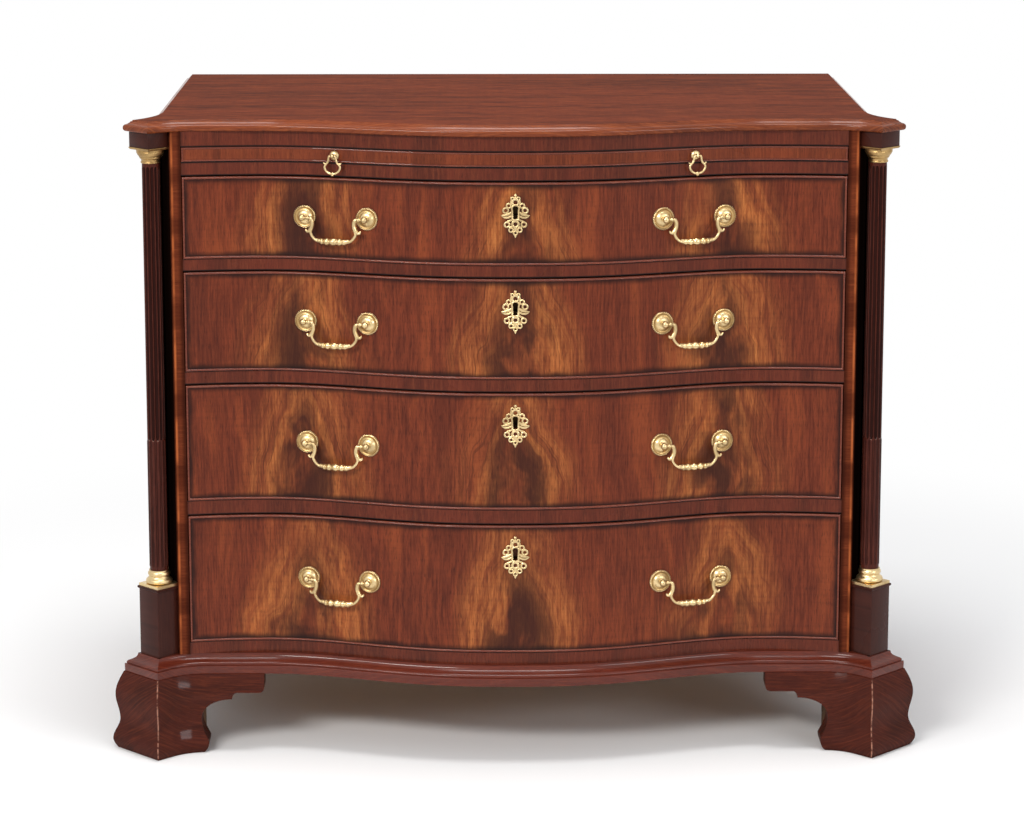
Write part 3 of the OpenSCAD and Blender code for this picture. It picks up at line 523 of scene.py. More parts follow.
class Graph:
    """Adds nodes to a tree and joins them"""

    def __init__(self, tree):
        self.tree = tree
        self.column = 0

    def put(self, socket, value):
        if isinstance(value, Value):
            self.tree.links.new(value.socket, socket)
        elif value is not None:
            socket.default_value = value

    def fill(self, node, **inputs):
        """Sets or joins the named inputs of a node, with _ for each space in a name"""
        for key, value in inputs.items():
            self.put(node.inputs[key.replace("_", " ")], value)

    def add(self, kind, *values, settings=None, **inputs):
        """Adds a node, with values for its first inputs in turn or for its named inputs"""
        node = self.tree.nodes.new(kind)
        self.column += 1
        node.location = (self.column * 160, 0)
        for key, value in (settings or {}).items():
            setattr(node, key, value)
        for socket, value in zip(node.inputs, values):
            self.put(socket, value)
        self.fill(node, **inputs)
        return node

    def out(self, node, key=0):
        return Value(self, node.outputs[key])

    def outs(self, node):
        return {socket.name: Value(self, socket) for socket in node.outputs}

    def math(self, operation, *values):
        return self.out(self.add("ShaderNodeMath", *values, settings={"operation": operation}))

    def vector(self, operation, a, b):
        return self.out(self.add("ShaderNodeVectorMath", a, b, settings={"operation": operation}))

    def split(self, vector):
        """The x, y and z of a vector"""
        return tuple(self.outs(self.add("ShaderNodeSeparateXYZ", vector)).values())

    def join(self, x, y, z):
        return self.out(self.add("ShaderNodeCombineXYZ", x, y, z))

    def noise(self, place, detail=2.0, roughness=0.5, distortion=0.0, scale=1.0):
        """Noise at a place, given as a vector or as its x, y and z"""
        vector = self.join(*place) if isinstance(place, tuple) else place
        return self.out(self.add("ShaderNodeTexNoise", Vector=vector, Scale=scale, Detail=detail,
                                 Roughness=roughness, Distortion=distortion))

    def spread(self, value, low, high, to_low=0.0, to_high=1.0):
        """A smooth rise from to_low to to_high as the value goes from low to high"""
        return self.out(self.add("ShaderNodeMapRange", value, low, high, to_low, to_high,
                                 settings={"interpolation_type": "SMOOTHSTEP"}))

    def mix(self, factor, a, b):
        """A colour between two colours"""
        node = self.add("ShaderNodeMix", settings={"data_type": "RGBA"})
        for index, value in ((0, factor), (6, a), (7, b)):
            self.put(node.inputs[index], value)
        return self.out(node, 2)

    def bump(self, height, strength, distance):
        return self.out(self.add("ShaderNodeBump", Height=height, Strength=strength,
                                 Distance=distance))

    def place(self):
        return self.out(self.add("ShaderNodeTexCoord"), "Object")

    def group(self, name, **inputs):
        tree = bpy.data.node_groups[name]
        return self.outs(self.add("ShaderNodeGroup", settings={"node_tree": tree}, **inputs))


def new_group(name, inputs, outputs):
    """Starts a shader group. Inputs are (name, default) and outputs are names of values."""
    tree = bpy.data.node_groups.new(name, "ShaderNodeTree")
    for socket, default in inputs:
        kind = "NodeSocketVector" if default is None else "NodeSocketFloat"
        made = tree.interface.new_socket(name=socket, in_out="INPUT", socket_type=kind)
        if default is not None:
            made.default_value = default
    for socket in outputs:
        tree.interface.new_socket(name=socket, in_out="OUTPUT", socket_type="NodeSocketFloat")
    graph = Graph(tree)
    return graph, graph.outs(graph.add("NodeGroupInput")), graph.add("NodeGroupOutput")


def make_grain_group():
    """Fine pores and streaks that run along the local Z of the vector"""
    g, given, result = new_group(
        "fine_grain", (("Vector", None), ("Seed", 0.0)), ("Streak", "Pore", "Ripple"))
    x, y, z = g.split(given["Vector"])
    seed = given["Seed"]
    across = x + y
    bent = across + g.noise(given["Vector"], 1.0, scale=7.0) * 0.01
    pore = g.noise((across * 1100.0, seed, z * 90.0), 1.0, 0.4)
    g.fill(result, Streak=g.noise((bent * 300.0, seed, z * 20.0), 4.0, 0.7),
           Pore=g.spread(pore, 0.56, 0.68),
           Ripple=g.noise((across * 14.0, seed, z * 230.0)))


def make_flame_group():
    """Crotch figure: nested arches round the middle of each flame, with a dark heart"""
    g, given, result = new_group(
        "flame_figure",
        (("Vector", None), ("Spacing", 0.288), ("Offset", 0.0), ("Peak", 0.0), ("Point", 0.35),
         ("Seed", 0.0)),
        ("Glow", "Cloud", "Broad"))
    x, _, z = g.split(given["Vector"])
    seed = given["Seed"]
    sway = g.noise((x * 4.0, seed, z * 9.0))
    x_bent = x + (sway - 0.5) * 0.05
    near = g.math("PINGPONG", x_bent - given["Offset"], given["Spacing"] * 0.5)
    rounded = g.math("SQRT", near * near + 0.00006)
    lift = g.noise((x * 5.0, seed + 3.1, 0.0), 0.0)
    above = z - given["Peak"] + (lift - 0.5) * 0.11
    rise = (above + g.math("SQRT", above * above + 0.0009)) * 0.5
    ragged = g.noise((x * 15.0, seed, z * 8.0), 3.0)
    arch = rounded + rise * given["Point"] + (ragged - 0.5) * 0.055

    streaks = g.noise((arch * 78.0, z * 6.0, seed), 5.0, 0.62)
    patch = g.noise((x * 9.0, seed + 7.7, z * 7.0))
    band = g.spread(arch, 0.010, 0.050, 0.2, 1.0) * (1.0 - g.spread(arch, 0.050, 0.115))
    glow = (band * g.spread(streaks, 0.32, 0.68, 0.15, 1.0)
            * g.spread(patch, 0.32, 0.55, 0.3, 1.0))
    blots = g.noise((x_bent * 24.0, seed + 13.0, z * 13.0), 3.0, 0.6, 0.4)
    heart = g.spread(blots, 0.34, 0.56) * (1.0 - g.spread(arch, 0.026, 0.070))
    contour = g.noise((arch * 210.0, z * 4.0, seed), 1.0)
    line = band * g.spread(contour, 0.60, 0.68) * 0.55
    g.fill(result, Glow=glow, Cloud=g.math("MAXIMUM", heart, line),
           Broad=g.noise((x_bent * 26.0, seed + 21.0, z * 2.6), 3.0, 0.62))


def make_dirt_and_shade_rim_group():
    """A soft dark rim inside a panel, partly dirt and partly painted shade: 1 at its edges, 0 away
    from them
    """
    g, given, result = new_group(
        "dirt_and_shade_rim",
        (("Vector", None), ("Low", 0.0), ("High", 1.0), ("Half", 0.45), ("Width", 0.008)),
        ("Rim",))
    x, _, z = g.split(given["Vector"])
    uneven = g.noise(given["Vector"], scale=25.0) * 0.008
    nearest = g.math("MINIMUM", z - given["Low"], given["High"] - z)
    nearest = g.math("MINIMUM", nearest, given["Half"] - abs(x))
    g.fill(result, Rim=1.0 - g.spread(nearest - uneven, -0.001, given["Width"]))


def make_wear_group():
    """Handling marks: faint blotches for the polish and small dents"""
    g, given, result = new_group("old_polish", (("Vector", None), ("Seed", 0.0)),
                                 ("Haze", "Dent"))
    moved = g.vector("ADD", given["Vector"], g.join(given["Seed"], 0.0, 0.0))
    dents = g.add("ShaderNodeTexVoronoi", settings={"feature": "F1"}, Vector=moved, Scale=38.0)
    g.fill(result, Haze=g.noise(moved, 3.0, 0.6, scale=9.0),
           Dent=1.0 - g.spread(g.out(dents, "Distance"), 0.0, 0.13))


def principled(name):
    """A new material with a plain Principled surface"""
    material = bpy.data.materials.new(name)
    material.use_nodes = True
    tree = material.node_tree
    surface = next(n for n in tree.nodes if n.type == "BSDF_PRINCIPLED")
    surface.location = (4200, 0)
    return material, Graph(tree), surface


def flame_veneer(name, low, high, seed, offset, peak):
    """Crotch mahogany with three flames, dark clouds and a dark rim inside the beads, partly dirt
    and partly painted shade
    """
    colours = finish()
    material, g, surface = principled(name)
    place = g.place()
    flame = g.group("flame_figure", Vector=place, Offset=offset, Peak=peak, Seed=seed)
    grain = g.group("fine_grain", Vector=place, Seed=seed)
    rim = g.group("dirt_and_shade_rim", Vector=place, Low=low, High=high, Half=DRAWER_X)
    polish = g.group("old_polish", Vector=place, Seed=seed)
    streak = g.spread(grain["Streak"], 0.3, 0.7)
    tint = g.mix(streak, paint(78, 32, 19), colours.veneer)
    gold = g.mix(streak, paint(150, 76, 36), colours.gold)
    for share, over in (
            (g.spread(flame["Broad"], 0.5, 0.68) * 0.5, paint(142, 69, 36)),
            (g.spread(flame["Broad"], 0.48, 0.35) * 0.4, paint(66, 27, 18)),
            (flame["Glow"] * 0.74, gold),
            (flame["Cloud"] * 0.8, colours.cloud),
            (g.spread(grain["Ripple"], 0.45, 0.7) * 0.14, paint(66, 30, 20)),
            (grain["Pore"] * 0.45, paint(46, 20, 14)),
            # partly dirt, partly painted shade: a near-black rim just inside the beads
            (rim["Rim"] * 0.88, paint(24, 10, 8))):
        tint = g.mix(share, tint, over)
    g.fill(surface, Base_Color=tint, Roughness=g.spread(polish["Haze"], 0.3, 0.7, 0.30, 0.42),
           Coat_Weight=0.04, Coat_Roughness=0.1, Specular_IOR_Level=0.12,
           Normal=g.bump(grain["Pore"], 0.12, 0.0003))
    return material


def stile_wear_and_recess_shade(edge_x, seed):
    """By a column: worn patches, a darker inner band, an arris line of wear and painted highlight,
    painted shade in the recess
    """
    def mark(g, shade):
        x, _, z = g.split(g.place())
        x = abs(x)
        patch = g.noise((seed, 0.0, z * 17.0))
        shade = g.mix(g.spread(patch, 0.50, 0.58, 0.0, 0.6), shade, paint(62, 26, 17))
        # darker towards the inner part of the stile, beside the drawers
        inner = g.spread(x, edge_x - 0.0125, edge_x - 0.0065, 0.75, 0.0)
        shade = g.mix(inner, shade, paint(40, 17, 12))
        # partly wear, partly painted highlight: a light line along the rounded arris
        arris = 1.0 - g.spread(abs(x - (edge_x - 0.0012)), 0.0, 0.0026)
        painted_highlight = arris * g.spread(patch, 0.58, 0.42, 0.15, 0.7)
        shade = g.mix(painted_highlight, shade, paint(184, 100, 54))
        # painted shade: near-black over the canted recess behind the column
        return g.mix(g.spread(x, edge_x + 0.001, edge_x + 0.0035), shade, paint(16, 7, 5))
    return mark


def dark_joints_and_gap_shade(levels):
    """Dark lines at the heights where boards or drawers meet: dark joints between boards, dirt and
    painted shade at gaps
    """
    def mark(g, shade):
        z = g.split(g.place())[2]
        for level in levels:
            line = 1.0 - g.spread(abs(z - level), 0.0012, 0.0032)
            shade = g.mix(line, shade, paint(14, 6, 5))
        return shade
    return mark


def worn_line(at_x):
    """A ragged, worn line down a corner"""
    def mark(g, shade):
        x = abs(g.split(g.place())[0])
        ragged = g.spread(g.noise(g.place(), 3.0, scale=180.0), 0.35, 0.6)
        line = 1.0 - g.spread(abs(x - at_x), 0.0002, 0.0013)
        return g.mix(line * ragged * 0.75, shade, paint(196, 140, 116))
    return mark


def plain_wood(name, tint, dark, light, seed, grain_turn=(0, 0, 0), gloss=0.34, coat=0.0,
               contrast=0.4, shine=0.15, mark=None):
    """Straight-grained wood, from its body colour, dark streaks and light streaks"""
    material, g, surface = principled(name)
    turned = g.out(g.add("ShaderNodeMapping", Vector=g.place(), Rotation=grain_turn))
    grain = g.group("fine_grain", Vector=turned, Seed=seed)
    polish = g.group("old_polish", Vector=turned, Seed=seed)
    broad = g.noise(g.vector("MULTIPLY", turned, (26.0, 26.0, 2.4)), 3.0, 0.6, 0.5)
    shade = g.mix(g.spread(broad, 0.38, 0.66) * contrast, tint, dark)
    shade = g.mix(g.spread(grain["Streak"], 0.42, 0.7) * contrast, shade, light)
    shade = g.mix(grain["Pore"] * 0.4, shade, dark)
    if mark:
        shade = mark(g, shade)
    g.fill(surface, Base_Color=shade,
           Roughness=g.spread(polish["Haze"], 0.3, 0.7, gloss - 0.05, gloss + 0.08),
           Coat_Weight=coat, Coat_Roughness=0.13, Specular_IOR_Level=shine,
           Normal=g.bump(grain["Pore"] + polish["Dent"], 0.1, 0.0003))
    return material


def aged_brass(name, tint, dark=paint(128, 100, 60), gloss=0.24):
    """Cast and chased brass: darker in random patches and slightly uneven"""
    material, g, surface = principled(name)
    place = g.place()
    cast = g.noise(place, 3.0, 0.6, scale=260.0)
    stain = g.noise(place, scale=45.0)
    shade = g.mix(g.spread(stain, 0.4, 0.72) * 0.45, tint, dark)
    shade = g.mix(g.spread(cast, 0.5, 0.75) * 0.25, shade, dark)
    g.fill(surface, Base_Color=shade, Metallic=1.0,
           Roughness=g.spread(stain, 0.3, 0.7, gloss, gloss + 0.16),
           Normal=g.bump(cast, 0.05, 0.0003))
    return material


# Case and mouldings

def make_top(material, lit_edge_material):
    """The top with its moulded edge: a thumb-nail lip, a cove and a fine step"""
    s = shape()
    rear, high = TOP_BOX[1][1], TOP_BOX[1][2]
    lip = smooth_run([(2.2, 15), (0.7, 13.8), (0, 11.8), (0, 9.5), (0.6, 7.6), (1.8, 6.4)], 3)
    cove = smooth_run([(1.9, 6.1), (4.2, 5.2), (6.5, 3.4), (7.8, 1.7)], 3)
    step = [(9.2, 1.3), (9.4, 1.1), (9.5, 0.3), (9.8, 0)]
    rings = []
    for inset, down in lip + cove + step:
        line = mitred(whole_path(rear, s.lip_side), s.lip_out - inset * MM)
        rings.append([Vector((p.x, min(p.y, rear), high - down * MM)) for p in line])
    bm = bmesh.new()
    loft(bm, rings)
    piece = add_piece("moulded_top", bm, "top_veneer", material, lit_edge_material, nodes=("top",),
                      crease=38)
    # faces that look up take the darker, shaded copy; the moulded edge takes the lighter, lit copy
    for face in piece.data.polygons:
        face.material_index = 0 if face.normal.z > 0.99 else 1


def make_base_moulding(material):
    """Base moulding: an upright fascia, a fine step and an ogee up to the case"""
    s = shape()
    low, high = heights("base_moulding")
    shares = [(0.99, 0), (1, 0.012), (1, 0.415), (0.985, 0.43), (0.86, 0.445)]
    shares += smooth_run([(0.86, 0.46), (0.88, 0.52), (0.78, 0.60), (0.56, 0.67), (0.31, 0.77),
                          (0.19, 0.88), (0.15, 1.0)], 3)
    face = [(s.base_out * out, low + (high - low) * up) for out, up in shares]
    bm = bmesh.new()
    loft(bm, along_path(whole_path(BACK_Y), [(-s.base_in, low)] + face + [(-s.base_in, high)]))
    add_piece("base_run", bm, "moulding_mahogany", material, nodes=("base_moulding",), crease=30)


# Feet

# Heights and stand-offs of the ogee, in millimetres
FOOT_STAGES = ((0, 24.4), (13, 29.3), (43, 21.7), (77.5, 26), (111, 17))
FOOT_TALL = FOOT_STAGES[-1][0] * MM
BRACKET_T = 0.020
GLUE_BLOCK_W = 0.057
INWARD, BACKWARD, FORWARD = Vector((-1, 0)), Vector((0, 1)), Vector((0, -1))


def foot_out(z):
    """Stand-off of the foot at a height"""
    floor, flare, waist, belly, top = FOOT_STAGES

    def ease(a, b):
        share = (z - a[0]) / (b[0] - a[0])
        return a[1] + (b[1] - a[1]) * (1 - math.cos(math.pi * share)) / 2

    if z < flare[0]:
        return floor[1] + (flare[1] - floor[1]) * math.sin(math.pi / 2 * z / flare[0])
    if z < waist[0]:
        return ease(flare, waist)
    if z < belly[0]:
        return ease(waist, belly)
    share = (z - belly[0]) / (top[0] - belly[0])
    return top[1] + (belly[1] - top[1]) * math.cos(math.pi / 2 * share)


def foot_body(bm, path):
    steps = 37
    inside = -shape().foot_in
    levels = [FOOT_STAGES[-1][0] * i / steps for i in range(steps + 1)]
    face = [(foot_out(z) * MM, z * MM) for z in levels]
    loft(bm, along_path(path, [(inside, 0)] + face + [(inside, FOOT_TALL)]))


def under_wing():
    """The shape cut out below a bracket: distance from the corner's axis and height"""
    def at(out, up):
        return Vector((out, up)) * MM

    wing = shape().wing / MM
    points = [at(60, -5), at(60, 0)]
    points += quadratic(at(60, 0), at(67.5, 6), at(67.5, 17), 6)
    points += cubic(at(67.5, 17), at(63.5, 25), at(57, 35), at(57, 47), 10)
    points += cubic(at(57, 47), at(57, 67), at(78, 77), at(100, 77), 14)
    points += quadratic(at(100, 77), at(101, 86), at(108, 86), 6)
    points += [at(wing - 8, 86)]
    points += quadratic(at(wing - 8, 86), at(wing, 86), at(wing, 94), 6)
    return points + [at(wing + 9, 94), at(wing + 9, -5)]


def wing_cutter(bm, origin, along):
    """A bar of the cut-out's shape, through a bracket that runs from the origin along a line"""
    reach = 0.06
    across = Vector((abs(along.y), abs(along.x)))
    rings = []
    for side in (-reach, reach):
        ring = [(origin + along * p.x + across * side, p.y) for p in under_wing()]
        rings.append([Vector((plan.x, plan.y, up)) for plan, up in ring])
    loft(bm, rings)


def add_bracket(name, bm, slot, material, node, sign, *wings):
    """Adds a bracket and shapes its lower edge. Each wing is its origin and direction."""
    piece = add_piece(name, bm, slot, material, nodes=(node,), crease=30, sign=sign)

    def cutters(bm):
        for origin, along in wings:
            wing_cutter(bm, origin, along)

    carve(piece, cutters, sign)


def make_feet(material, inner):
    """Ogee bracket feet: the front pair canted round the corner blocks, the back pair plain"""
    s = shape()
    axis = column_at()
    front_wing, side_wing = Vector((axis.x, line_y())), Vector((SIDE_X, axis.y))
    back_corner = Vector((SIDE_X, BACK_Y))
    inside = SIDE_X - s.foot_in - GAP
    block_x, block_y = axis.x - GLUE_BLOCK_W, axis.y + GLUE_BLOCK_W
    for side, sign in SIDES:
        front, back = f"foot_front_{side}", f"foot_back_{side}"
        bm = bmesh.new()
        foot_body(bm, [front_wing - Vector((s.wing, 0))] + ear_path()
                  + [side_wing + Vector((0, s.wing))])
        add_bracket(f"ogee_foot_{side}", bm, "foot_mahogany", material, front, sign,
                    (front_wing, INWARD), (side_wing, BACKWARD))

        bm = bmesh.new()
        foot_body(bm, [back_corner - Vector((0, s.wing)), back_corner])
        add_bracket(f"back_foot_{side}", bm, "foot_mahogany", material, back, sign,
                    (back_corner, FORWARD))

        bm = bmesh.new()
        box(bm, (SIDE_X - s.wing, BACK_Y - BRACKET_T, 0), (inside, BACK_Y, FOOT_TALL))
        add_bracket(f"back_bracket_{side}", bm, "pine", inner, back, sign, (back_corner, INWARD))

        edge = [p for p in mitred(ear_path(), -s.foot_in - GAP)
                if p.x > block_x and p.y < block_y]
        bm = bmesh.new()
        prism(bm, [(block_x, edge[0].y)] + edge + [(inside, block_y), (block_x, block_y)],
              0, FOOT_TALL)
        box(bm, (SIDE_X - GLUE_BLOCK_W, BACK_Y - GLUE_BLOCK_W, 0),
            (inside, BACK_Y - BRACKET_T - GAP, FOOT_TALL))
        add_piece(f"glue_blocks_{side}", bm, "pine", inner, nodes=(front, back), crease=30,
                  sign=sign)


# Corners

RECESS_W, RECESS_D = 0.0185, 0.050


def recess_at(back):
    """A point on the canted recess behind the column, at a distance behind the front's ends"""
    return Vector((shape().stile_x + RECESS_W / RECESS_D * back, front_end_y() + back))


def meet(reach, rear=False):
    """Where a block's front or rear face runs into the recess"""
    s = shape()
    axis_sum = SIDE_X + s.column_out + s.column_back
    shift = reach if rear else -reach
    return recess_at((axis_sum + shift - s.stile_x) / (1 + RECESS_W / RECESS_D))


def inner_meet(reach):
    """Where a plate's inner face runs into the recess"""
    s = shape()
    axis_x = SIDE_X + s.column_out
    return recess_at((s.column_back + reach - axis_x + s.stile_x) / (1 - RECESS_W / RECESS_D))


def block_plan(reach):
    axis = column_at()
    return [meet(reach), axis - Vector((0, reach)), axis + Vector((reach, 0)), meet(reach, True)]


def plate_plan(reach):
    axis = column_at()
    return [meet(reach), axis - Vector((0, reach)), axis + Vector((reach, 0)),
            axis + Vector((0, reach)), inner_meet(reach)]


def stepped_prism(bm, plan, steps):
    """A prism whose faces step in and out: (stand-off of the corners, height) from below"""
    loft(bm, [[Vector((p.x, p.y, z)) for p in plan(reach)] for reach, z in steps])


def make_blocks(material):
    """Pedestals with their cap boards, and the frieze blocks above the capitals"""
    reach = half_diagonal()
    cap_out = 0.0016 * math.sqrt(2)
    cap_t = 0.0039
    rounded = 0.0008
    high = PEDESTAL_TOP
    cap_steps = ((reach + cap_out * 0.35, high - cap_t), (reach + cap_out, high - cap_t * 0.72),
                 (reach + cap_out, high - rounded), (reach + cap_out - rounded, high))
    for side, sign in SIDES:
        pedestal = bmesh.new()
        prism(pedestal, block_plan(reach), FLOOR_OF_CASE, high - cap_t)
        bevel(pedestal, upright_edges(pedestal, 0.01, SIDE_X - 0.01), 0.0009, 3)
        cap_board = bmesh.new()
        stepped_prism(cap_board, block_plan, cap_steps)
        block = bmesh.new()
        prism(block, block_plan(reach), *FRIEZE_Z)
        bevel(block, sharp_edges(block), 0.0005)
        for name, bm, slot, node in (
                ("pedestal", pedestal, "column_mahogany", "pedestals"),
                ("pedestal_cap", cap_board, "column_mahogany", "pedestals"),
                ("frieze_block", block, "moulding_mahogany", "frieze_blocks")):
            add_piece(f"{name}_{side}", bm, slot, material, nodes=(node,), sign=sign)


# Shafts: plain ring at each end, width of the flutes and depths below the plain round
RING_H = 0.0045
FLUTE_SHARE = 0.80
FLUTE_D = 0.0019
REED_D = 0.0011
REED_RISE = 0.0017


def plain_radius(z, tall):
    """Radius of the tapering shaft before it is fluted"""
    b = fittings()
    return (b.shaft_foot + (b.shaft_top - b.shaft_foot) * z / tall) / 2


def end_width(to_end):
    """Width of a flute near its rounded end, as a share of its full width"""
    return math.sqrt(max(0.0, 1 - (1 - to_end) ** 2)) if to_end < 1 else 1.0


def shaft_radius(angle, z, tall):
    """Radius of the fluted shaft. Reeds fill the flutes up to their height."""
    b = fittings()
    plain = plain_radius(z, tall)
    pitch = math.tau / b.flutes
    across = (2 * (angle / pitch - math.floor(angle / pitch)) - 1) / FLUTE_SHARE
    if abs(across) >= 1 or z < RING_H or z > tall - RING_H:
        return plain
    half_flute = plain * pitch * FLUTE_SHARE / 2
    if z < b.reed_h:
        crown = REED_RISE * math.sqrt(1 - across ** 2) - REED_D
        end = min(1.0, (z - RING_H) / half_flute, (b.reed_h - z) / half_flute)
        return plain + max(crown * math.sqrt(max(end, 0)), -REED_D)
    taper = half_flute * 1.6
    width = min(end_width((tall - RING_H - z) / taper), end_width((z - b.reed_h) / taper))
    if abs(across) > width:
        return plain
    return plain - FLUTE_D * math.sqrt(max(0.0, 1 - (across / max(width, 0.05)) ** 2))


def make_columns(ridges, hollows, painted_highlight):
    """Free fluted columns with reeds in the lower part of their flutes"""
    b = fittings()
    axis = column_at()
    low, high = heights("column_right")
    tall = high - low
    count = b.flutes * 14
    turns = [math.tau * k / count for k in range(count)]
    near_end = [0, 0.0044, 0.0046, 0.0055, 0.0070, 0.0090]
    near_reeds = (-0.006, -0.003, -0.0012, 0, 0.0012, 0.003, 0.006)
    levels = near_end + [0.03, 0.09, 0.15] + [b.reed_h + d for d in near_reeds]
    levels += [tall * share for share in (0.45, 0.6, 0.75, 0.9)]
    levels += [tall - d for d in reversed(near_end)]
    rings = []
    for z in levels:
        radii = [shaft_radius(a, z, tall) for a in turns]
        rings.append([Vector((axis.x + r * math.cos(a), axis.y + r * math.sin(a), low + z))
                      for a, r in zip(turns, radii)])
    for side, sign in SIDES:
        bm = bmesh.new()
        loft(bm, rings)
        piece = add_piece(f"fluted_shaft_{side}", bm, "column_mahogany", ridges, hollows, painted_highlight,
                          nodes=(f"column_{side}",), crease=40, sign=sign)
        for face in piece.data.polygons:
            middle = face.center
            up = middle.z - low
            depth = plain_radius(up, tall) - math.hypot(abs(middle.x) - axis.x,
                                                        middle.y - axis.y)
            # painted shade: faces deep in the flutes take the dark copy of the wood
            if depth > (0.0001 if up < b.reed_h else 0.0005):
                face.material_index = 1
            # painted highlight: faces at the ends of the reeds take a pale copy, as small glints
            if depth > 0.0001 and (0 < b.reed_h - up < 0.0016 or 0.0044 < up < 0.0057):
                face.material_index = 2


def make_capitals(capital_material, base_material):
    """Brass capitals and bases: a square plate and turned mouldings"""
    axis = column_at()
    place = Matrix.Translation((axis.x, axis.y, 0))
    reach = half_diagonal()
    steps = 64

    abacus_t, under = 0.003, FRIEZE_Z[0]
    abacus = ((reach - 0.0010, under - abacus_t), (reach - 0.0002, under - abacus_t * 0.7),
              (reach + 0.0004, under - abacus_t * 0.55), (reach + 0.001, under - abacus_t * 0.2),
              (reach + 0.001, under))
    neck = smooth_run([(12.2, 0), (12.9, 0.5), (13.2, 1.4), (12.9, 2.3), (12.3, 2.8)], 3)
    bell = smooth_run([(12.2, 3.0), (12.4, 4.6), (13.4, 6.2), (14.3, 7.0)], 3)
    fillets = [(14.5, 7.1), (14.5, 8.2), (15.2, 8.5), (15.2, 9.3)]
    ovolo = smooth_run([(15.6, 9.6), (17.0, 11.4), (18.1, 13.4), (18.9, 15.2), (18.6, 16.4)], 3)
    turned = [(0, 0)] + neck + bell + fillets + ovolo + [(18.9, 16.8), (19.0, 19), (0, 19)]
    cap_low = heights("column_capitals")[0]
    capital = [(r * MM, cap_low + up * MM) for r, up in turned]

    plate_t, edge = 0.004, 0.0006
    base_low, base_high = PEDESTAL_TOP, heights("column_bases")[1]
    plate = ((reach, base_low), (reach, base_low + plate_t - edge),
             (reach - edge, base_low + plate_t))
    torus = smooth_run([(16.0, 4), (17.9, 5.2), (18.5, 7.4), (17.9, 9.8), (16.3, 11.2)], 3)
    scotia = smooth_run([(15.7, 11.5), (14.8, 12.8), (14.3, 14.4), (14.7, 15.4)], 3)
    upper = smooth_run([(15.0, 15.8), (15.5, 17.2), (15.5, 18.6), (15.0, 20.2), (14.1, 21.1)], 3)
    turned = [(0, 4)] + torus + scotia + upper + [(13.9, 21.4)]
    base = [(r * MM, base_low + up * MM) for r, up in turned]
    base += [(13.9 * MM, base_high), (0, base_high)]

    for side, sign in SIDES:
        for name, node, material, profile, square in (
                ("capital", "column_capitals", capital_material, capital, abacus),
                ("column_base", "column_bases", base_material, base, plate)):
            bm = bmesh.new()
            spun(bm, profile, place, steps)
            stepped_prism(bm, plate_plan, square)
            add_piece(f"{name}_{side}", bm, "brass", material, nodes=(node,), crease=30,
                      sign=sign)


# Front

WALL_T = 0.010
FLAT_IN = 0.012
RAIL_BACK = 0.075
RAIL_SET = 0.0005
LOCK_HALF_W = 0.031
BOLT_W, BOLT_D = 0.0256, 0.0066
POST_HOLE_R = 0.0025


def back_face_y(x):
    """The back of a drawer front, which is flat at its ends"""
    flat_x = DRAWER_X - WALL_T - FLAT_IN
    return face_y(min(abs(x), flat_x)) + shape().front_t


def lock_y():
    return face_y(0) + shape().front_t - 0.011


def key_outline(grow=0.0):
    """The keyhole: a round with a slot below it, about the middle of the round"""
    radius, half, slot = 0.0036 + grow, 0.0031 + grow, 0.0142 + grow
    start = math.asin(half / radius) if half < radius else math.pi / 2
    steps = 24
    turns = [start + (math.tau - 2 * start) * i / steps for i in range(steps + 1)]
    points = [Vector((radius * math.sin(a), -radius * math.cos(a))) for a in turns]
    return points + [Vector((-half, -slot)), Vector((half, -slot))]


def keyhole_z(n):
    return DRAWER_Z[n][1] - fittings().plate_drop + 0.006


def handle_z(n):
    low, high = DRAWER_Z[n]
    return (low + high) / 2 + fittings().post_rise


def standing_at(point, angle, z):
    """Turns a piece drawn with its face up along Z so that it stands out from the front"""
    across = Vector((math.cos(angle), math.sin(angle), 0))
    out = Vector((math.sin(angle), -math.cos(angle), 0))
    turn = Matrix((across, (0, 0, 1), out)).transposed().to_4x4()
    return Matrix.Translation((point[0], point[1], z)) @ turn


def raised(place, height):
    """A place moved outwards from the front"""
    return place @ Matrix.Translation((0, 0, height))


def post_points():
    b = fittings()
    half = b.post_pitch / 2 * math.cos(slope_at(b.handle_x))
    return [Vector((b.handle_x + k * half, face_y(b.handle_x + k * half))) for k in (-1, 1)]


def handle_line():
    """Middle, angle and half length of the line between a handle's posts"""
    first, last = post_points()
    line = last - first
    return (first + last) / 2, math.atan2(line.y, line.x), line.length / 2


def front_section(n, x, proud):
    """A drawer front's section, with its seat for the bead along the edges or all over"""
    s = shape()
    low, high = DRAWER_Z[n]
    rear = back_face_y(x)
    seat = face_y(x) + s.bead_d + GAP
    front = face_y(x) if proud else seat
    points = ((rear, low), (seat, low), (seat, low + s.bead_t), (front, low + s.bead_t),
              (front, high - s.bead_t), (seat, high - s.bead_t), (seat, high), (rear, high))
    return [Vector((x, y, z)) for y, z in points]


def front_cutters(bm, n):
    """The keyhole, the lock's mortise and the holes of the handles' posts"""
    high = DRAWER_Z[n][1]
    loft(bm, [[Vector((p.x, y, keyhole_z(n) + p.y)) for p in key_outline()]
              for y in (face_y(0) - 0.02, face_y(0) + 0.05)])
    box(bm, (-LOCK_HALF_W - GAP, lock_y(), high - 0.060),
        (LOCK_HALF_W + GAP, lock_y() + 0.04, high + 0.01))
    angle = handle_line()[1]
    for sign in (1, -1):
        for point in post_points():
            place = standing_at((sign * point.x, point.y), sign * angle, handle_z(n))
            pin(bm, -0.08, 0.08, POST_HOLE_R, place, 32)


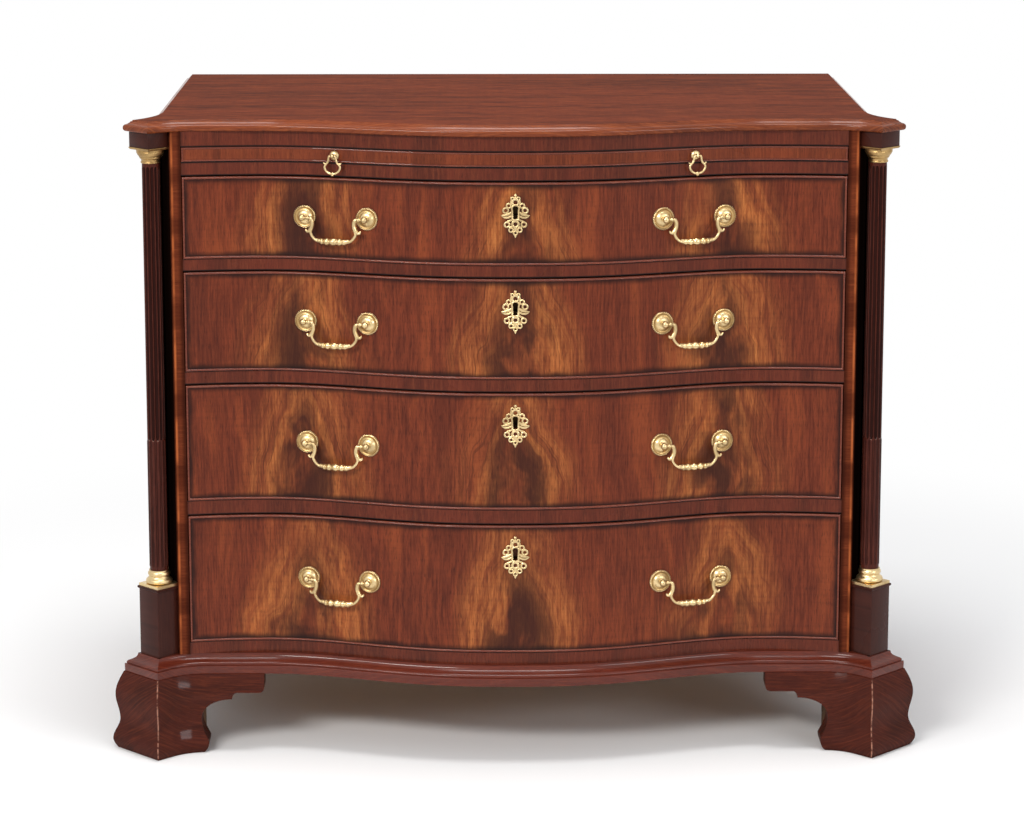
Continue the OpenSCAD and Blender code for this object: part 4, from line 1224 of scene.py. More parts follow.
def make_drawer_fronts():
    """Veneered serpentine drawer fronts, rebated for their beads and cut for lock and handles"""
    offsets = (0.004, 0.0, -0.004, 0.003)
    arch_depths = (0.115, 0.105, 0.125, 0.150)
    inner = DRAWER_X - shape().bead_t
    for n, offset, depth in zip(DRAWERS, offsets, arch_depths):
        low, high = DRAWER_Z[n]
        material = flame_veneer(f"flame_veneer_{n}", low, high, 4.0 * n, offset, high - depth)
        rings = [front_section(n, x, False) for x in (-DRAWER_X, -inner)]
        rings += [front_section(n, x, True) for x in stations(inner)]
        rings += [front_section(n, x, False) for x in (inner, DRAWER_X)]
        bm = bmesh.new()
        loft(bm, rings)
        piece = add_piece(f"drawer_{n}_flame_front", bm, "front_veneer", material,
                          nodes=(f"drawer_{n}_front",), body=f"drawer_{n}", crease=30)
        carve(piece, lambda cut: front_cutters(cut, n))


def make_beads(material):
    """Cock beads round every drawer front, mitred at their corners"""
    s = shape()
    steps = 10
    nose = [(s.bead_t / 2 * (1 - math.cos(math.pi * i / steps)),
             -s.bead_proud * math.sin(math.pi * i / steps)) for i in range(steps + 1)]
    section = [(0, s.bead_d)] + nose + [(s.bead_t, s.bead_d)]
    end = DRAWER_X
    run = [x for x in stations(end) if abs(x) < end - s.bead_t * 1.5]
    for n in DRAWERS:
        low, high = DRAWER_Z[n]
        stops = [(x, low) for x in [-end] + run + [end]]
        stops += [(x, high) for x in [end] + run[::-1] + [-end]]
        rings = []
        for x, z in stops + stops[:1]:
            ring = []
            for across, back in section:
                inward_x = max(-end + across, min(end - across, x))
                inward_z = low + across if z == low else high - across
                ring.append(Vector((inward_x, face_y(inward_x) + back, inward_z)))
            rings.append(ring)
        bm = bmesh.new()
        loft(bm, rings, caps=False)
        add_piece(f"drawer_{n}_cock_bead", bm, "bead_mahogany", material,
                  nodes=(f"drawer_{n}_beads",), body=f"drawer_{n}", crease=40)


def make_recess_beads(material):
    """Fine upright beads where the canted recesses behind the columns meet the sides"""
    width = 0.004
    rear = front_end_y() + RECESS_D
    for side, sign in SIDES:
        bm = bmesh.new()
        box(bm, (SIDE_X - 0.0005, rear - 0.009, PEDESTAL_TOP),
            (SIDE_X + width, rear + 0.001, FRIEZE_Z[0]))
        bevel(bm, upright_edges(bm, width, SIDE_X + width / 2), width * 0.7, 4)
        add_piece(f"recess_bead_{side}", bm, "stile_veneer", material, sign=sign)


def make_rails(material):
    """Rails between the drawers. Those above a lock have a mortise for its bolt."""
    rear = front_end_y() + RAIL_BACK
    open_x = DRAWER_X + 0.0008
    mortise_y = lock_y() + 0.0045 - 0.0008
    rows = [("frieze_band", "frieze_rail", FRIEZE_Z, False),
            ("slide_band", "slide_rail", heights("slide_rail"), True),
            ("bottom_band", "bottom_rail", heights("bottom_rail"), False)]
    for n in (1, 2, 3):
        band = (DRAWER_Z[n + 1][1] + 0.002, DRAWER_Z[n][0] - 0.0006)
        rows.append((f"rail_{n}_band", "drawer_rails", band, True))
    for name, node, (low, high), mortise in rows:
        rings = []
        for x in stations(open_x):
            front = face_y(x) + RAIL_SET
            rings.append([Vector((x, y, z)) for y, z in
                          ((rear, low), (front, low), (front, high), (rear, high))])
        bm = bmesh.new()
        loft(bm, rings)
        piece = add_piece(name, bm, "rail_veneer", material, nodes=(node,), crease=30)
        if mortise:
            carve(piece, lambda cut: box(cut, (-BOLT_W / 2, mortise_y, low - 0.001),
                                         (BOLT_W / 2, mortise_y + BOLT_D, low + 0.008)))


def make_slide(material, bead_material):
    """The brushing slide, with a fine bead round its front edge"""
    low, high = SLIDE_Z
    wide = shape().slide_bead
    nose = [(0.0003, 0), (-0.0006, 0.12), (-0.001, 0.4), (-0.001, 0.6), (-0.0006, 0.88),
            (0.0002, 1.0)]
    rings = []
    for x in stations(DRAWER_X):
        face = face_y(x)
        line = [(SLIDE_REAR, low)]
        line += [(face + out, low + wide * up) for out, up in nose]
        line += [(face + out, high - wide * up) for out, up in reversed(nose)]
        line += [(SLIDE_REAR, high)]
        rings.append([Vector((x, y, z)) for y, z in line])
    bm = bmesh.new()
    loft(bm, rings)
    for sign in (-1, 1):
        line = [(sign * (DRAWER_X - wide * up), out)
                for out, up in [(0.004, 0)] + nose + [(0.004, 1)]]
        loft(bm, [[Vector((x, face_y(x) + out, z)) for x, out in line] for z in (low, high)])
    piece = add_piece("brushing_slide_board", bm, "front_veneer", material, bead_material,
                      nodes=("slide_board",), body="brushing_slide", crease=30)
    for face in piece.data.polygons:
        beside = min(face.center.z - low, high - face.center.z, DRAWER_X - abs(face.center.x))
        if beside < wide and face.center.y < face_y(face.center.x) + 0.002:
            face.material_index = 1


# Brasses

NOTCHES = 36
NOTCH_D = 0.0011


def milled_disc(bm, profile, place, first, last, dish):
    """A turned disc whose rim, between two points of its profile, is cut with fine notches"""
    count = NOTCHES * 3
    rings = []
    for i, (radius, height) in enumerate(profile):
        ring = []
        for k in range(count):
            cut = NOTCH_D if first <= i <= last and k % 3 else 0.0
            turn = math.tau * k / count
            r = max(radius - cut, 0.00002)
            ring.append(place @ Vector((r * math.cos(turn), r * math.sin(turn), height)))
        rings.append(ring)
    before = set(bm.faces)
    loft(bm, rings)
    back = place.inverted()
    for face in set(bm.faces) - before:
        # painted shade: faces of the dish between rim and dome take the darker brass
        middle = back @ face.calc_center_median()
        if dish[0] < math.hypot(middle.x, middle.y) < dish[1]:
            face.material_index = 1


def curve_rise(point, angle, radius):
    """How far the curved front rises past a flat disc that stands square to the angle"""
    rises = [0.0]
    for u in (-radius, radius):
        x = point.x + u * math.cos(angle)
        rises.append((x - point.x) * math.sin(angle) - (face_y(x) - point.y) * math.cos(angle))
    return max(rises)


def back_of_front(point, angle, radius):
    """How far behind the face a nut of a radius clears the back of the drawer front"""
    thick = shape().front_t
    cos, sin = math.cos(angle), math.sin(angle)
    depths = [0.0]
    for u in (-radius, 0, radius):
        x = point.x + u * cos - thick * sin * cos
        depths.append((face_y(x) + thick - point.y) * cos - (x - point.x) * sin)
    return max(depths) + GAP


def rosette(bm, point, z):
    """A turned rosette with a milled rim, a dish and a dome"""
    slope = slope_at(point.x)
    r = fittings().rosette_d / 2
    rim = [(r - 0.0008, 0), (r, 0.0004), (r, 0.0012), (r - 0.0004, 0.0020), (r - 0.0012, 0.0026)]
    dish = smooth_run([(r - 0.0020, 0.0027), (r - 0.0028, 0.0021), (r - 0.0040, 0.0014),
                       (r - 0.0056, 0.0013), (r - 0.0066, 0.0018)], 2)
    dome = smooth_run([(r - 0.0070, 0.0024), (r - 0.0086, 0.0036), (r - 0.0106, 0.0044),
                       (r - 0.0120, 0.0046)], 3)
    collar = [(0.0036, 0.0047), (0.0035, 0.0056), (0.0028, 0.0060)]
    place = raised(standing_at(point, slope, z), GAP + curve_rise(point, slope, r))
    milled_disc(bm, [(0.00002, 0)] + rim + dish + dome + collar, place, 2, 5,
                (r - 0.0064, r - 0.0030))


def post(bm, point, angle, z):
    """A handle's post with its ball, and the nut behind the drawer front"""
    b = fittings()
    place = standing_at(point, angle, z)
    tube(bm, [Vector((0, 0, h)) for h in (0.003, 0.006, 0.0075, b.pivot_out)],
         [0.0029, 0.0029, 0.0025, 0.0025], place, 20)
    ball(bm, b.ball_d / 2, raised(place, b.pivot_out), 28)
    nut_r, nut_t = 0.0052, 0.004
    behind = back_of_front(point, angle, nut_r)
    pin(bm, 0.004, -behind - nut_t - 0.001, 0.0024, place, 20)
    tube(bm, [Vector((0, 0, -behind - h)) for h in (0, nut_t - 0.0006, nut_t)],
         [nut_r, nut_r, nut_r - 0.0008], place, 6)


def flat_ring(bm, place, ring_r, hole_r, low, high):
    """A flattened ring of round section"""
    steps, sides = 10, 26
    middle, half = (ring_r + hole_r) / 2, (ring_r - hole_r) / 2
    rise = (high - low) / 2
    turns = [math.tau * i / steps for i in range(steps)]
    section = [(middle + half * math.cos(a), low + rise + rise * math.sin(a)) for a in turns]
    rings = []
    for k in range(sides + 1):
        turn = math.tau * (k % sides) / sides
        rings.append([place @ Vector((r * math.cos(turn), r * math.sin(turn), h))
                      for r, h in section])
    loft(bm, rings, caps=False)


# Escutcheon, in millimetres about its middle. Rings: across, up, outer and inner radius.
SIDE_RINGS = ((9, 9.8, 4.2, 1.7), (13, 3.4, 4.8, 2.2), (11.4, -15.7, 4.6, 2.0),
              (5.8, -23, 4, 1.6), (4, 19.5, 3, 0.9))
MIDDLE_RINGS = ((14.4, 5.4, 2.7, 2.0), (-15, 5.8, 2.5, 2.0), (-27.2, 3.6, 1.4, 1.9))
# Leaves: the line, the radii along it and the flattening
SIDE_LEAVES = (
    (((5, 1), (9, -1.6), (14, -3.0), (19.4, -3.4)), (1.4, 2.1, 1.6, 0.3), 0.6),
    (((5, -4), (9.6, -6.2), (14, -6.4), (18.6, -4.4)), (1.4, 1.5, 1.4, 0.3), 0.6),
    (((4.6, -9), (8, -10.6), (11, -11.4)), (1.2, 1.5, 1.0), 0.7),
    (((3.4, -17.5), (6, -19), (8.6, -19.4)), (1.1, 1.4, 0.9), 0.7),
    (((4.6, 11.6), (6.4, 14.6), (5.6, 17.6)), (1.0, 1.2, 0.9), 0.7),
)
MIDDLE_LEAVES = (
    (((0, 17.5), (0, 20), (0, 22.6)), (1.9, 1.6, 1.1), 0.6),
    (((0, -29.5), (0, -31.6), (0, -33.5)), (2.2, 1.5, 0.5), 0.6),
    (((0, -20), (0, -22), (0, -24.4)), (2.0, 2.4, 1.6), 0.5),
)


def keyhole_rim(bm, unit):
    """The raised rim that runs round the keyhole"""
    line = [Vector((p.x / MM, p.y / MM + 6)) for p in key_outline(0.0013)]
    turns = [math.tau * k / 10 for k in range(10)]
    section = [(1.35 * math.cos(a), 1.25 + math.sin(a)) for a in turns]
    lines = [mitred(line + line[:1], out) for out, up in section]
    rings = []
    for i in list(range(len(line))) + [0]:
        rings.append([unit @ Vector((moved[i].x, moved[i].y, up))
                      for moved, (out, up) in zip(lines, section)])
    loft(bm, rings, caps=False)


def escutcheon(bm, z):
    """Pierced escutcheon: rings, scrolls and leaves round a raised keyhole rim"""
    unit = standing_at((0, face_y(0)), 0.0, z) @ Matrix.Diagonal((MM, MM, MM, 1))

    def lifted(u, v, w=0.0):
        return unit @ Matrix.Translation((u, v, w))

    def leaf(line, radii, thick, sign=1):
        tube(bm, [Vector((sign * u, v, 0)) for u, v in line], radii,
             lifted(0, 0, 1.0) @ Matrix.Diagonal((1, 1, thick, 1)), 12)

    keyhole_rim(bm, unit)
    for sign in (-1, 1):
        for u, v, ring_r, hole_r in SIDE_RINGS:
            flat_ring(bm, lifted(sign * u, v), ring_r, hole_r, 0.2, 2.0)
            ball(bm, 0.9, lifted(sign * (u + ring_r * 0.62), v + ring_r * 0.55, 1.1), 10)
        for line, radii, thick in SIDE_LEAVES:
            leaf(line, radii, thick, sign)
    for v, ring_r, hole_r, high in MIDDLE_RINGS:
        flat_ring(bm, lifted(0, v), ring_r, hole_r, 0.2, high)
    for line, radii, thick in MIDDLE_LEAVES:
        leaf(line, radii, thick)
    ball(bm, 2.3, lifted(0, 24.2, 0.9), 16)


def make_mounts(material, dish_shade_material):
    """Rosettes, posts and nuts of the handles, and the escutcheons"""
    angle = handle_line()[1]
    for n in DRAWERS:
        own = {"nodes": (f"drawer_{n}_mounts",), "body": f"drawer_{n}"}
        bm = bmesh.new()
        for point in post_points():
            rosette(bm, point, handle_z(n))
            post(bm, point, angle, handle_z(n))
        mirror_copy(bm)
        add_piece(f"drawer_{n}_rosettes", bm, "brass", material, dish_shade_material, crease=34, **own)
        bm = bmesh.new()
        escutcheon(bm, DRAWER_Z[n][1] - fittings().plate_drop)
        add_piece(f"drawer_{n}_escutcheon", bm, "brass", material, crease=40, **own)


def both_ways(half):
    """A line and its mirror image, from end to end"""
    mirror = [(-x, z, r) for x, z, r in reversed(half)]
    return mirror[:-1] + half if half[0][0] == 0 else mirror + half


def hanging_bar(bm, half, place, sides):
    """A bar that hangs in the XZ plane, given on one side as (across, up, radius)"""
    points = both_ways(half)
    flat_tube(bm, [(x, z) for x, z, r in points], [r for x, z, r in points], place, sides)


def twigs(bm, line, radii, place, sides):
    """A small branch on each arm of a handle"""
    for way in (-1, 1):
        flat_tube(bm, [(way * x, z) for x, z in line], radii, place, sides)


def bail_shape():
    """Half of a bail, from the middle of its grip to its pivot"""
    b = fittings()
    drop = b.grip_drop / MM
    grip = smooth_run([(0, 5.2), (1.8, 5.0), (3.4, 4.4), (4.5, 3.7)], 3)
    grip += smooth_run([(4.9, 3.7), (5.4, 4.3), (6.2, 4.0), (7.2, 4.7), (9.3, 5.0), (11.2, 4.5),
                        (12.3, 3.5)], 3)
    grip += smooth_run([(12.8, 3.3), (13.5, 4.1), (14.4, 3.7), (15.4, 4.2), (17.0, 3.9),
                        (18.6, 2.8)], 3)
    path = [(p.x, -drop, p.y) for p in grip]
    sweep = smooth_run([(20.6, -31.4), (24.6, -29.9), (28.2, -26.9), (30.9, -23.2), (32.2, -19.4),
                        (31.8, -16.0), (30.6, -12.6), (29.7, -9.2), (29.7, -5.8), (30.4, -2.8),
                        (31.6, -0.8)], 3)
    path += [(p.x, p.y, 2.0 + 0.85 * min(1.0, max(0.0, (p.y + 21) / 5))) for p in sweep]
    path += [(33, 0, 2.1)]
    ball_d = b.ball_d / MM
    end = handle_line()[2] / MM - ball_d / 2 - 0.3
    knuckle = end - 2.8
    path += [(knuckle + x, 0, r) for x, r in
             ((-2.2, 2.0), (-1.6, 2.5), (0, 2.8), (1.6, 2.5), (2.1, 2.0))]
    return path + [(end, 0, 2.0), (end + 0.05, 0, 1.5), (end + 0.7 * ball_d, 0, 1.5)]


def make_bails(material):
    """The swinging handles with turned grips and small scrolls on their arms"""
    middle, angle, _ = handle_line()
    scroll = ((31.0, -12.4), (32.2, -15.2), (34.0, -17.6), (36.0, -18.6), (37.8, -18.2),
              (38.8, -16.8), (38.6, -15.4))
    leaf = ((18.0, -30.9), (20.5, -30.4), (23.4, -28.8))
    for n in DRAWERS:
        place = raised(standing_at(middle, angle, handle_z(n)), fittings().pivot_out)
        for side, sign in SIDES:
            bm = bmesh.new()
            hanging_bar(bm, bail_shape(), place, 20)
            twigs(bm, scroll, (2.5, 2.7, 2.6, 2.3, 1.9, 1.5, 1.2), place, 12)
            twigs(bm, leaf, (3.3, 3.0, 1.6), place, 14)
            add_piece(f"drawer_{n}_handle_{side}", bm, "brass", material, crease=40, sign=sign,
                      nodes=(f"drawer_{n}_bail_{side}",), body=f"bail_{n}_{side}")


def make_slide_brasses(material):
    """Bosses and ring pulls of the brushing slide"""
    b = fittings()
    place = standing_at((b.ring_x, face_y(b.ring_x)), slope_at(b.ring_x), sum(SLIDE_Z) / 2)
    hang = raised(place, b.ring_out)

    boss = [(0.00001, 0), (0.0066, 0), (0.0070, 0.0005), (0.0070, 0.0010)]
    boss += smooth_run([(0.0066, 0.0018), (0.0056, 0.0029), (0.0040, 0.0038),
                        (0.0026, 0.0042)], 3)
    boss += [(0.0022, 0.0048), (0.0017, 0.0054), (0.0017, b.ring_out)]
    bm = bmesh.new()
    spun(bm, boss, raised(place, GAP), 40)
    ball(bm, 0.0029, hang, 22)
    pin(bm, 0.001, -0.021, 0.0015, place, 16)
    mirror_copy(bm)
    add_piece("slide_bosses", bm, "brass", material, nodes=("slide_posts",),
              body="brushing_slide", crease=36)

    foot = -(b.ring_drop + b.ring_r) / MM - 0.6
    bend = smooth_run([(0, foot), (4.2, foot + 0.6), (8.0, foot + 2.9), (10.6, foot + 6.6),
                       (11.0, foot + 10.0), (9.2, foot + 12.8), (6.8, foot + 15.4),
                       (5.6, foot + 18.6), (5.2, -2.6), (4.6, -0.8), (3.6, 0)], 4)
    half = [(p.x, p.y, 1.65) for p in bend]
    half[0] = (0, foot, 2.5)
    half[1] = (half[1][0], half[1][1], 2.2)
    half += [(3.25, 0, 1.5), (3.2, 0, 0.9), (0.9, 0, 0.9)]
    spur = ((8.4, foot + 13.2), (10.4, foot + 13.4), (12.0, foot + 14.2), (13.0, foot + 15.4))
    for side, sign in SIDES:
        bm = bmesh.new()
        hanging_bar(bm, half, hang, 16)
        twigs(bm, spur, (1.7, 1.5, 1.1, 0.4), hang, 12)
        ball(bm, 0.0024, hang @ Matrix.Translation((0, (foot - 1.2) * MM, 0)), 18)
        add_piece(f"ring_pull_{side}", bm, "brass", material, nodes=(f"slide_ring_{side}",),
                  body=f"ring_{side}", crease=40, sign=sign)


# Finishes of the solids that keep their shape

def dress_solids(wood):
    """Gives each solid that stays its own procedural finish"""
    for name, material in wood.items():
        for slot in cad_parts[name].material_slots:
            slot.material = material


# Operators

def make_groups():
    if "fine_grain" not in bpy.data.node_groups:
        make_grain_group()
        make_flame_group()
        make_dirt_and_shade_rim_group()
        make_wear_group()


def bead_wood():
    return plain_wood("bead_wood", finish().bead, paint(74, 34, 26), paint(148, 82, 56), 43.0,
                      ALONG_X, gloss=0.2, coat=0.45, contrast=0.35, shine=0.08)


def upright_wood(name, tint, light, seed):
    return plain_wood(name, tint, paint(34, 14, 10), light, seed, gloss=0.3, coat=0.05,
                      shine=0.12)


class CHEST_OT_case(bpy.types.Operator):
    """Finish the sides, stiles, back and inside of the case"""

    bl_idname = "chest.case"
    bl_label = "Case"

    def execute(self, context):
        make_groups()
        colours = finish()
        arris = shape().stile_x
        side = plain_wood("side_veneer_finish", paint(104, 50, 34), colours.cloud,
                          paint(132, 74, 46), 11.0, gloss=0.32, coat=0.25)
        stile = plain_wood("stile_finish", paint(100, 46, 28), paint(52, 22, 15),
                           paint(134, 70, 42), 17.0, ALONG_X, gloss=0.32, shine=0.0,
                           mark=stile_wear_and_recess_shade(arris, 17.0))
        # painted shade: dark beads at the back of the recesses, standing for the shade behind the
        # columns
        make_recess_beads(upright_wood("recess_bead_shade_finish", paint(52, 24, 18),
                                       paint(70, 34, 24), 31.0))
        low, high = heights("backboards")
        joints = [low + (high - low) * i / 5 for i in (1, 2, 3, 4)]
        pine_dark = paint(112, 76, 42)
        pine = plain_wood("pine_finish", colours.pine, pine_dark, paint(178, 138, 92), 23.0,
                          ALONG_X, gloss=0.6, shine=0.1, mark=dark_joints_and_gap_shade(joints))
        boards = plain_wood("board_finish", colours.pine, pine_dark, paint(172, 132, 88), 29.0,
                            ALONG_Y, gloss=0.62)
        dress_solids({"side_left": side, "side_right": side, "stiles": stile,
                      "backboards": pine, "case_bottom": boards, "dust_boards": boards,
                      "drawer_guides": boards})
        return {"FINISHED"}


class CHEST_OT_top(bpy.types.Operator):
    """Make the serpentine top with its moulded edge"""

    bl_idname = "chest.top"
    bl_label = "Top"

    def execute(self, context):
        make_groups()
        # one board in two copies: the flat painted darker as shade under the light from above, the
        # lip painted lighter as light along its edge
        board = plain_wood("top_flat_shaded_copy", finish().top, paint(44, 17, 10), paint(140, 68, 33), 5.0,
                           ALONG_X, coat=0.06, contrast=0.6, shine=0.0)
        lip = plain_wood("lip_lit_copy", paint(112, 52, 27), paint(62, 26, 15), paint(160, 86, 45),
                         6.0, ALONG_X, gloss=0.2, coat=0.28, contrast=0.5, shine=0.05)
        make_top(board, lip)
        return {"FINISHED"}


class CHEST_OT_base(bpy.types.Operator):
    """Make the base moulding and the ogee bracket feet"""

    bl_idname = "chest.base"
    bl_label = "Base and feet"

    def execute(self, context):
        make_groups()
        moulding = plain_wood("moulding_wood", finish().mahogany, paint(54, 22, 15),
                              paint(132, 60, 36), 3.0, ALONG_X, gloss=0.24, coat=0.5,
                              contrast=0.35, shine=0.06)
        foot = plain_wood("foot_finish", paint(68, 27, 18), paint(36, 15, 11), paint(108, 48, 28),
                          7.0, ALONG_X, gloss=0.22, coat=0.22, contrast=0.45, shine=0.0,
                          mark=worn_line(column_at().x))
        block = plain_wood("block_finish", paint(92, 66, 42), paint(58, 38, 24),
                           paint(112, 82, 54), 31.0, gloss=0.65)
        make_base_moulding(moulding)
        make_feet(foot, block)
        return {"FINISHED"}


class CHEST_OT_corners(bpy.types.Operator):
    """Make the pedestals, fluted columns, capitals and bases of the corners"""

    bl_idname = "chest.corners"
    bl_label = "Corner columns"

    def execute(self, context):
        make_groups()
        colours = finish()
        make_blocks(upright_wood("pedestal_finish", colours.dark, paint(76, 36, 26), 13.0))
        ridges = plain_wood("shaft_finish", paint(68, 28, 20), paint(34, 13, 9),
                            paint(100, 50, 38), 19.0, gloss=0.22, coat=0.14, shine=0.05)
        # painted shade: a near-black copy of the shaft's wood for the hollows of the flutes
        hollows = plain_wood("flute_shade_finish", paint(40, 16, 12), paint(20, 8, 6),
                             paint(52, 24, 18), 20.0, gloss=0.3, shine=0.05)
        # painted highlight: pale glints at the ends of the reeds
        painted_highlight = plain_wood("reed_glint_finish", paint(196, 158, 142), paint(120, 78, 62),
                            paint(120, 78, 62), 21.0, gloss=0.4, contrast=0.5)
        make_columns(ridges, hollows, painted_highlight)
        make_capitals(aged_brass("capital_brass", colours.old_brass, paint(96, 66, 34), 0.3),
                      aged_brass("base_brass", colours.brass, gloss=0.26))
        return {"FINISHED"}


class CHEST_OT_rails(bpy.types.Operator):
    """Make the veneered rails that divide the front"""

    bl_idname = "chest.rails"
    bl_label = "Rails"

    def execute(self, context):
        make_groups()
        # partly dirt, partly painted shade: dark lines on the rails along the gaps above and below
        # the drawers and the slide
        gaps = list(SLIDE_Z) + [z + 0.001 for n in DRAWERS for z in DRAWER_Z[n]]
        make_rails(plain_wood("rail_finish", paint(92, 38, 24), paint(34, 14, 10),
                              paint(124, 62, 36), 37.0, gloss=0.3, coat=0.1, shine=0.12,
                              mark=dark_joints_and_gap_shade(gaps)))
        return {"FINISHED"}


class CHEST_OT_slide(bpy.types.Operator):
    """Make the brushing slide with its bosses and ring pulls"""

    bl_idname = "chest.slide"
    bl_label = "Brushing slide"

    def execute(self, context):
        make_groups()
        make_slide(upright_wood("slide_finish", paint(110, 50, 29), paint(142, 72, 40), 41.0),
                   bead_wood())
        make_slide_brasses(aged_brass("slide_brass", finish().brass))
        return {"FINISHED"}


class CHEST_OT_drawers(bpy.types.Operator):
    """Make the veneered drawer fronts and cock beads, and finish the boxes and locks"""

    bl_idname = "chest.drawers"
    bl_label = "Drawers"

    def execute(self, context):
        make_groups()
        colours = finish()
        make_drawer_fronts()
        make_beads(bead_wood())
        oak = plain_wood("oak_finish", colours.oak, paint(108, 80, 48), paint(170, 138, 96), 47.0,
                         ALONG_Y, gloss=0.55, contrast=0.45)
        lock = aged_brass("lock_finish", paint(62, 48, 30), paint(26, 20, 13), 0.4)
        iron = aged_brass("iron_finish", colours.iron, paint(52, 46, 42), 0.42)
        for n in DRAWERS:
            dress_solids({f"drawer_{n}_box": oak, f"drawer_{n}_lock": lock,
                          f"drawer_{n}_bolt": iron})
        return {"FINISHED"}


class CHEST_OT_brasses(bpy.types.Operator):
    """Make the rosettes, escutcheons and swinging handles of the drawers"""

    bl_idname = "chest.brasses"
    bl_label = "Drawer brasses"

    def execute(self, context):
        make_groups()
        bright = aged_brass("handle_brass", finish().brass)
        # painted shade: a darker brass for the dish of each rosette
        make_mounts(bright, aged_brass("dish_shade_brass", paint(186, 154, 104), paint(104, 76, 44), 0.3))
        make_bails(bright)
        return {"FINISHED"}


# Floor, lights and camera. Lamps: width, height, power, place, target and tint.
WHITE = (1.0, 1.0, 1.0, 1.0)
LAMPS = {
    "key": (1.9, 0.7, 118, (-2.0, -3.6, 2.8), (0, -0.1, 0.5), (1.0, 0.98, 0.95)),
    "fill": (2.2, 0.6, 40, (2.8, -3.2, 1.6), (0, 0, 0.4), (0.97, 0.98, 1.0)),
    "overhead": (1.3, 1.3, 60, (0.0, -0.3, 3.4), (0, 0, 0.6), (1.0, 1.0, 1.0)),
}
FLOOR_HALF = 12.0
CAMERA_DISTANCE, CAMERA_HEIGHT, CAMERA_X = 4.3, 1.431, -0.004
CAMERA_PITCH, CAMERA_YAW = math.radians(10.949), math.radians(0.626)
LENS, LENS_SHIFT = 112.61, -0.08


def white_where_seen(g, white, shaded, share, result):
    """Shows plain white instead of the shaded surface where the share is 1"""
    shown = g.add("ShaderNodeMixShader", share, shaded, white)
    g.fill(result, Surface=g.out(shown))


def seen_directly(g):
    """1 for rays that show the background: straight, or in gloss or glass"""
    rays = g.outs(g.add("ShaderNodeLightPath"))
    shiny = g.math("MAXIMUM", rays["Is Glossy Ray"], rays["Is Transmission Ray"])
    return g.math("MAXIMUM", rays["Is Camera Ray"], shiny)


def make_floor():
    """A pale floor that runs into the white of the background"""
    bm = bmesh.new()
    bmesh.ops.create_grid(bm, x_segments=1, y_segments=1, size=FLOOR_HALF)
    mesh = bpy.data.meshes.new("floor")
    bm.to_mesh(mesh)
    bm.free()
    material, g, surface = principled("floor_finish")
    g.fill(surface, Base_Color=finish().floor, Roughness=0.9, Specular_IOR_Level=0.1)
    x, y, _ = g.split(g.place())
    far = g.math("SQRT", x * x + y * y)
    white = g.add("ShaderNodeEmission", Color=WHITE, Strength=1.0)
    output = next(n for n in g.tree.nodes if n.type == "OUTPUT_MATERIAL")
    white_where_seen(g, g.out(white), g.out(surface),
                     seen_directly(g) * g.spread(far, 0.75, 1.7), output)
    mesh.materials.append(material)
    link("floor", mesh)


def make_world():
    """A white background that lights the chest softly, more from above"""
    world = bpy.data.worlds.new("studio")
    bpy.context.scene.world = world
    world.use_nodes = True
    g = Graph(world.node_tree)
    toward = g.split(g.out(g.add("ShaderNodeTexCoord"), "Generated"))[2]
    white = g.add("ShaderNodeBackground", Color=WHITE, Strength=1.0)
    soft = g.add("ShaderNodeBackground", Color=(0.97, 0.98, 1.0, 1.0),
                 Strength=g.spread(toward, 0.05, 0.75, 0.16, 0.62))
    output = next(n for n in g.tree.nodes if n.type == "OUTPUT_WORLD")
    white_where_seen(g, g.out(white), g.out(soft), seen_directly(g), output)


def make_lamp(name, width, height, power, location, target, tint):
    lamp = bpy.data.lights.new(name, "AREA")
    lamp.energy = power
    lamp.color = tint
    lamp.size = width
    if height != width:
        lamp.shape = "RECTANGLE"
        lamp.size_y = height
    lit = link(name, lamp)
    lit.location = location
    lit.rotation_euler = (Vector(target) - Vector(location)).to_track_quat("-Z", "Y").to_euler()


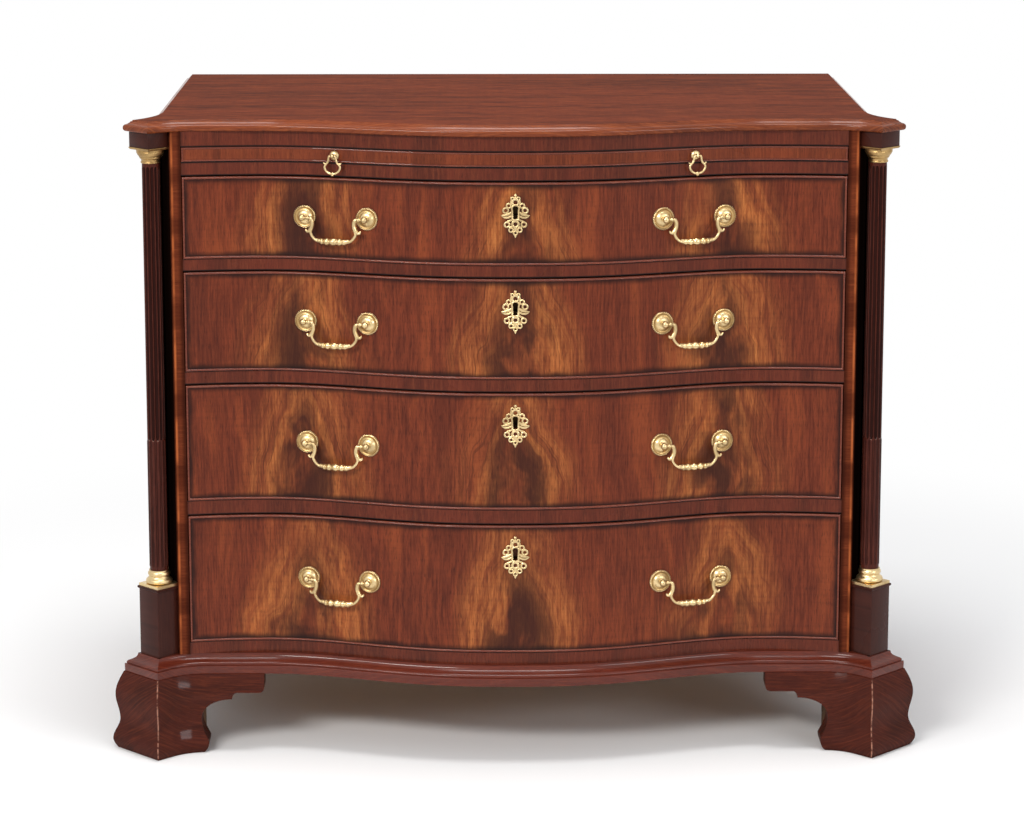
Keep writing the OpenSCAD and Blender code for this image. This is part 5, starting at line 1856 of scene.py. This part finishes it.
def make_camera():
    lens = bpy.data.cameras.new("camera")
    lens.lens = LENS
    lens.sensor_width = 36.0
    lens.shift_y = LENS_SHIFT
    camera = link("camera", lens)
    camera.location = (CAMERA_X - CAMERA_DISTANCE * math.sin(CAMERA_YAW),
                       front_end_y() - CAMERA_DISTANCE * math.cos(CAMERA_YAW), CAMERA_HEIGHT)
    camera.rotation_euler = (math.pi / 2 - CAMERA_PITCH, 0.0, -CAMERA_YAW)
    bpy.context.scene.camera = camera


class CHEST_OT_stage(bpy.types.Operator):
    """Make the floor, the lights and the camera"""

    bl_idname = "chest.stage"
    bl_label = "Floor, lights and camera"

    def execute(self, context):
        make_floor()
        make_world()
        for name, facts in LAMPS.items():
            make_lamp(name, *facts)
        make_camera()
        context.scene.view_settings.view_transform = "Standard"
        context.scene.view_settings.look = "None"
        return {"FINISHED"}


PIECE_OPERATORS = (
    CHEST_OT_stage, CHEST_OT_case, CHEST_OT_top, CHEST_OT_base, CHEST_OT_corners, CHEST_OT_rails,
    CHEST_OT_slide, CHEST_OT_drawers, CHEST_OT_brasses,
)


class CHEST_PT_panel(bpy.types.Panel):
    """Sizes, finishes and makers of the chest"""

    bl_idname = "CHEST_PT_panel"
    bl_label = "Serpentine chest"
    bl_space_type = "VIEW_3D"
    bl_region_type = "UI"
    bl_category = "Chest"

    def draw(self, context):
        layout = self.layout
        for operator in PIECE_OPERATORS:
            layout.operator(operator.bl_idname)
        for group in (shape(), fittings(), finish()):
            block = layout.box()
            for name in group.bl_rna.properties.keys():
                if name not in ("rna_type", "name"):
                    block.prop(group, name)


CLASSES = (CHEST_PG_shape, CHEST_PG_brass, CHEST_PG_finish) + PIECE_OPERATORS + (CHEST_PT_panel,)


def register():
    for cls in CLASSES:
        bpy.utils.register_class(cls)
    scene = bpy.types.Scene
    scene.chest_shape = PointerProperty(type=CHEST_PG_shape)
    scene.chest_brass = PointerProperty(type=CHEST_PG_brass)
    scene.chest_finish = PointerProperty(type=CHEST_PG_finish)


def unregister():
    scene = bpy.types.Scene
    del scene.chest_finish
    del scene.chest_brass
    del scene.chest_shape
    for cls in reversed(CLASSES):
        bpy.utils.unregister_class(cls)


def main():
    register()
    ops = bpy.ops.chest
    for make in (ops.stage, ops.case, ops.top, ops.base, ops.corners, ops.rails, ops.slide,
                 ops.drawers, ops.brasses):
        make()


if __name__ == "__main__":
    main()
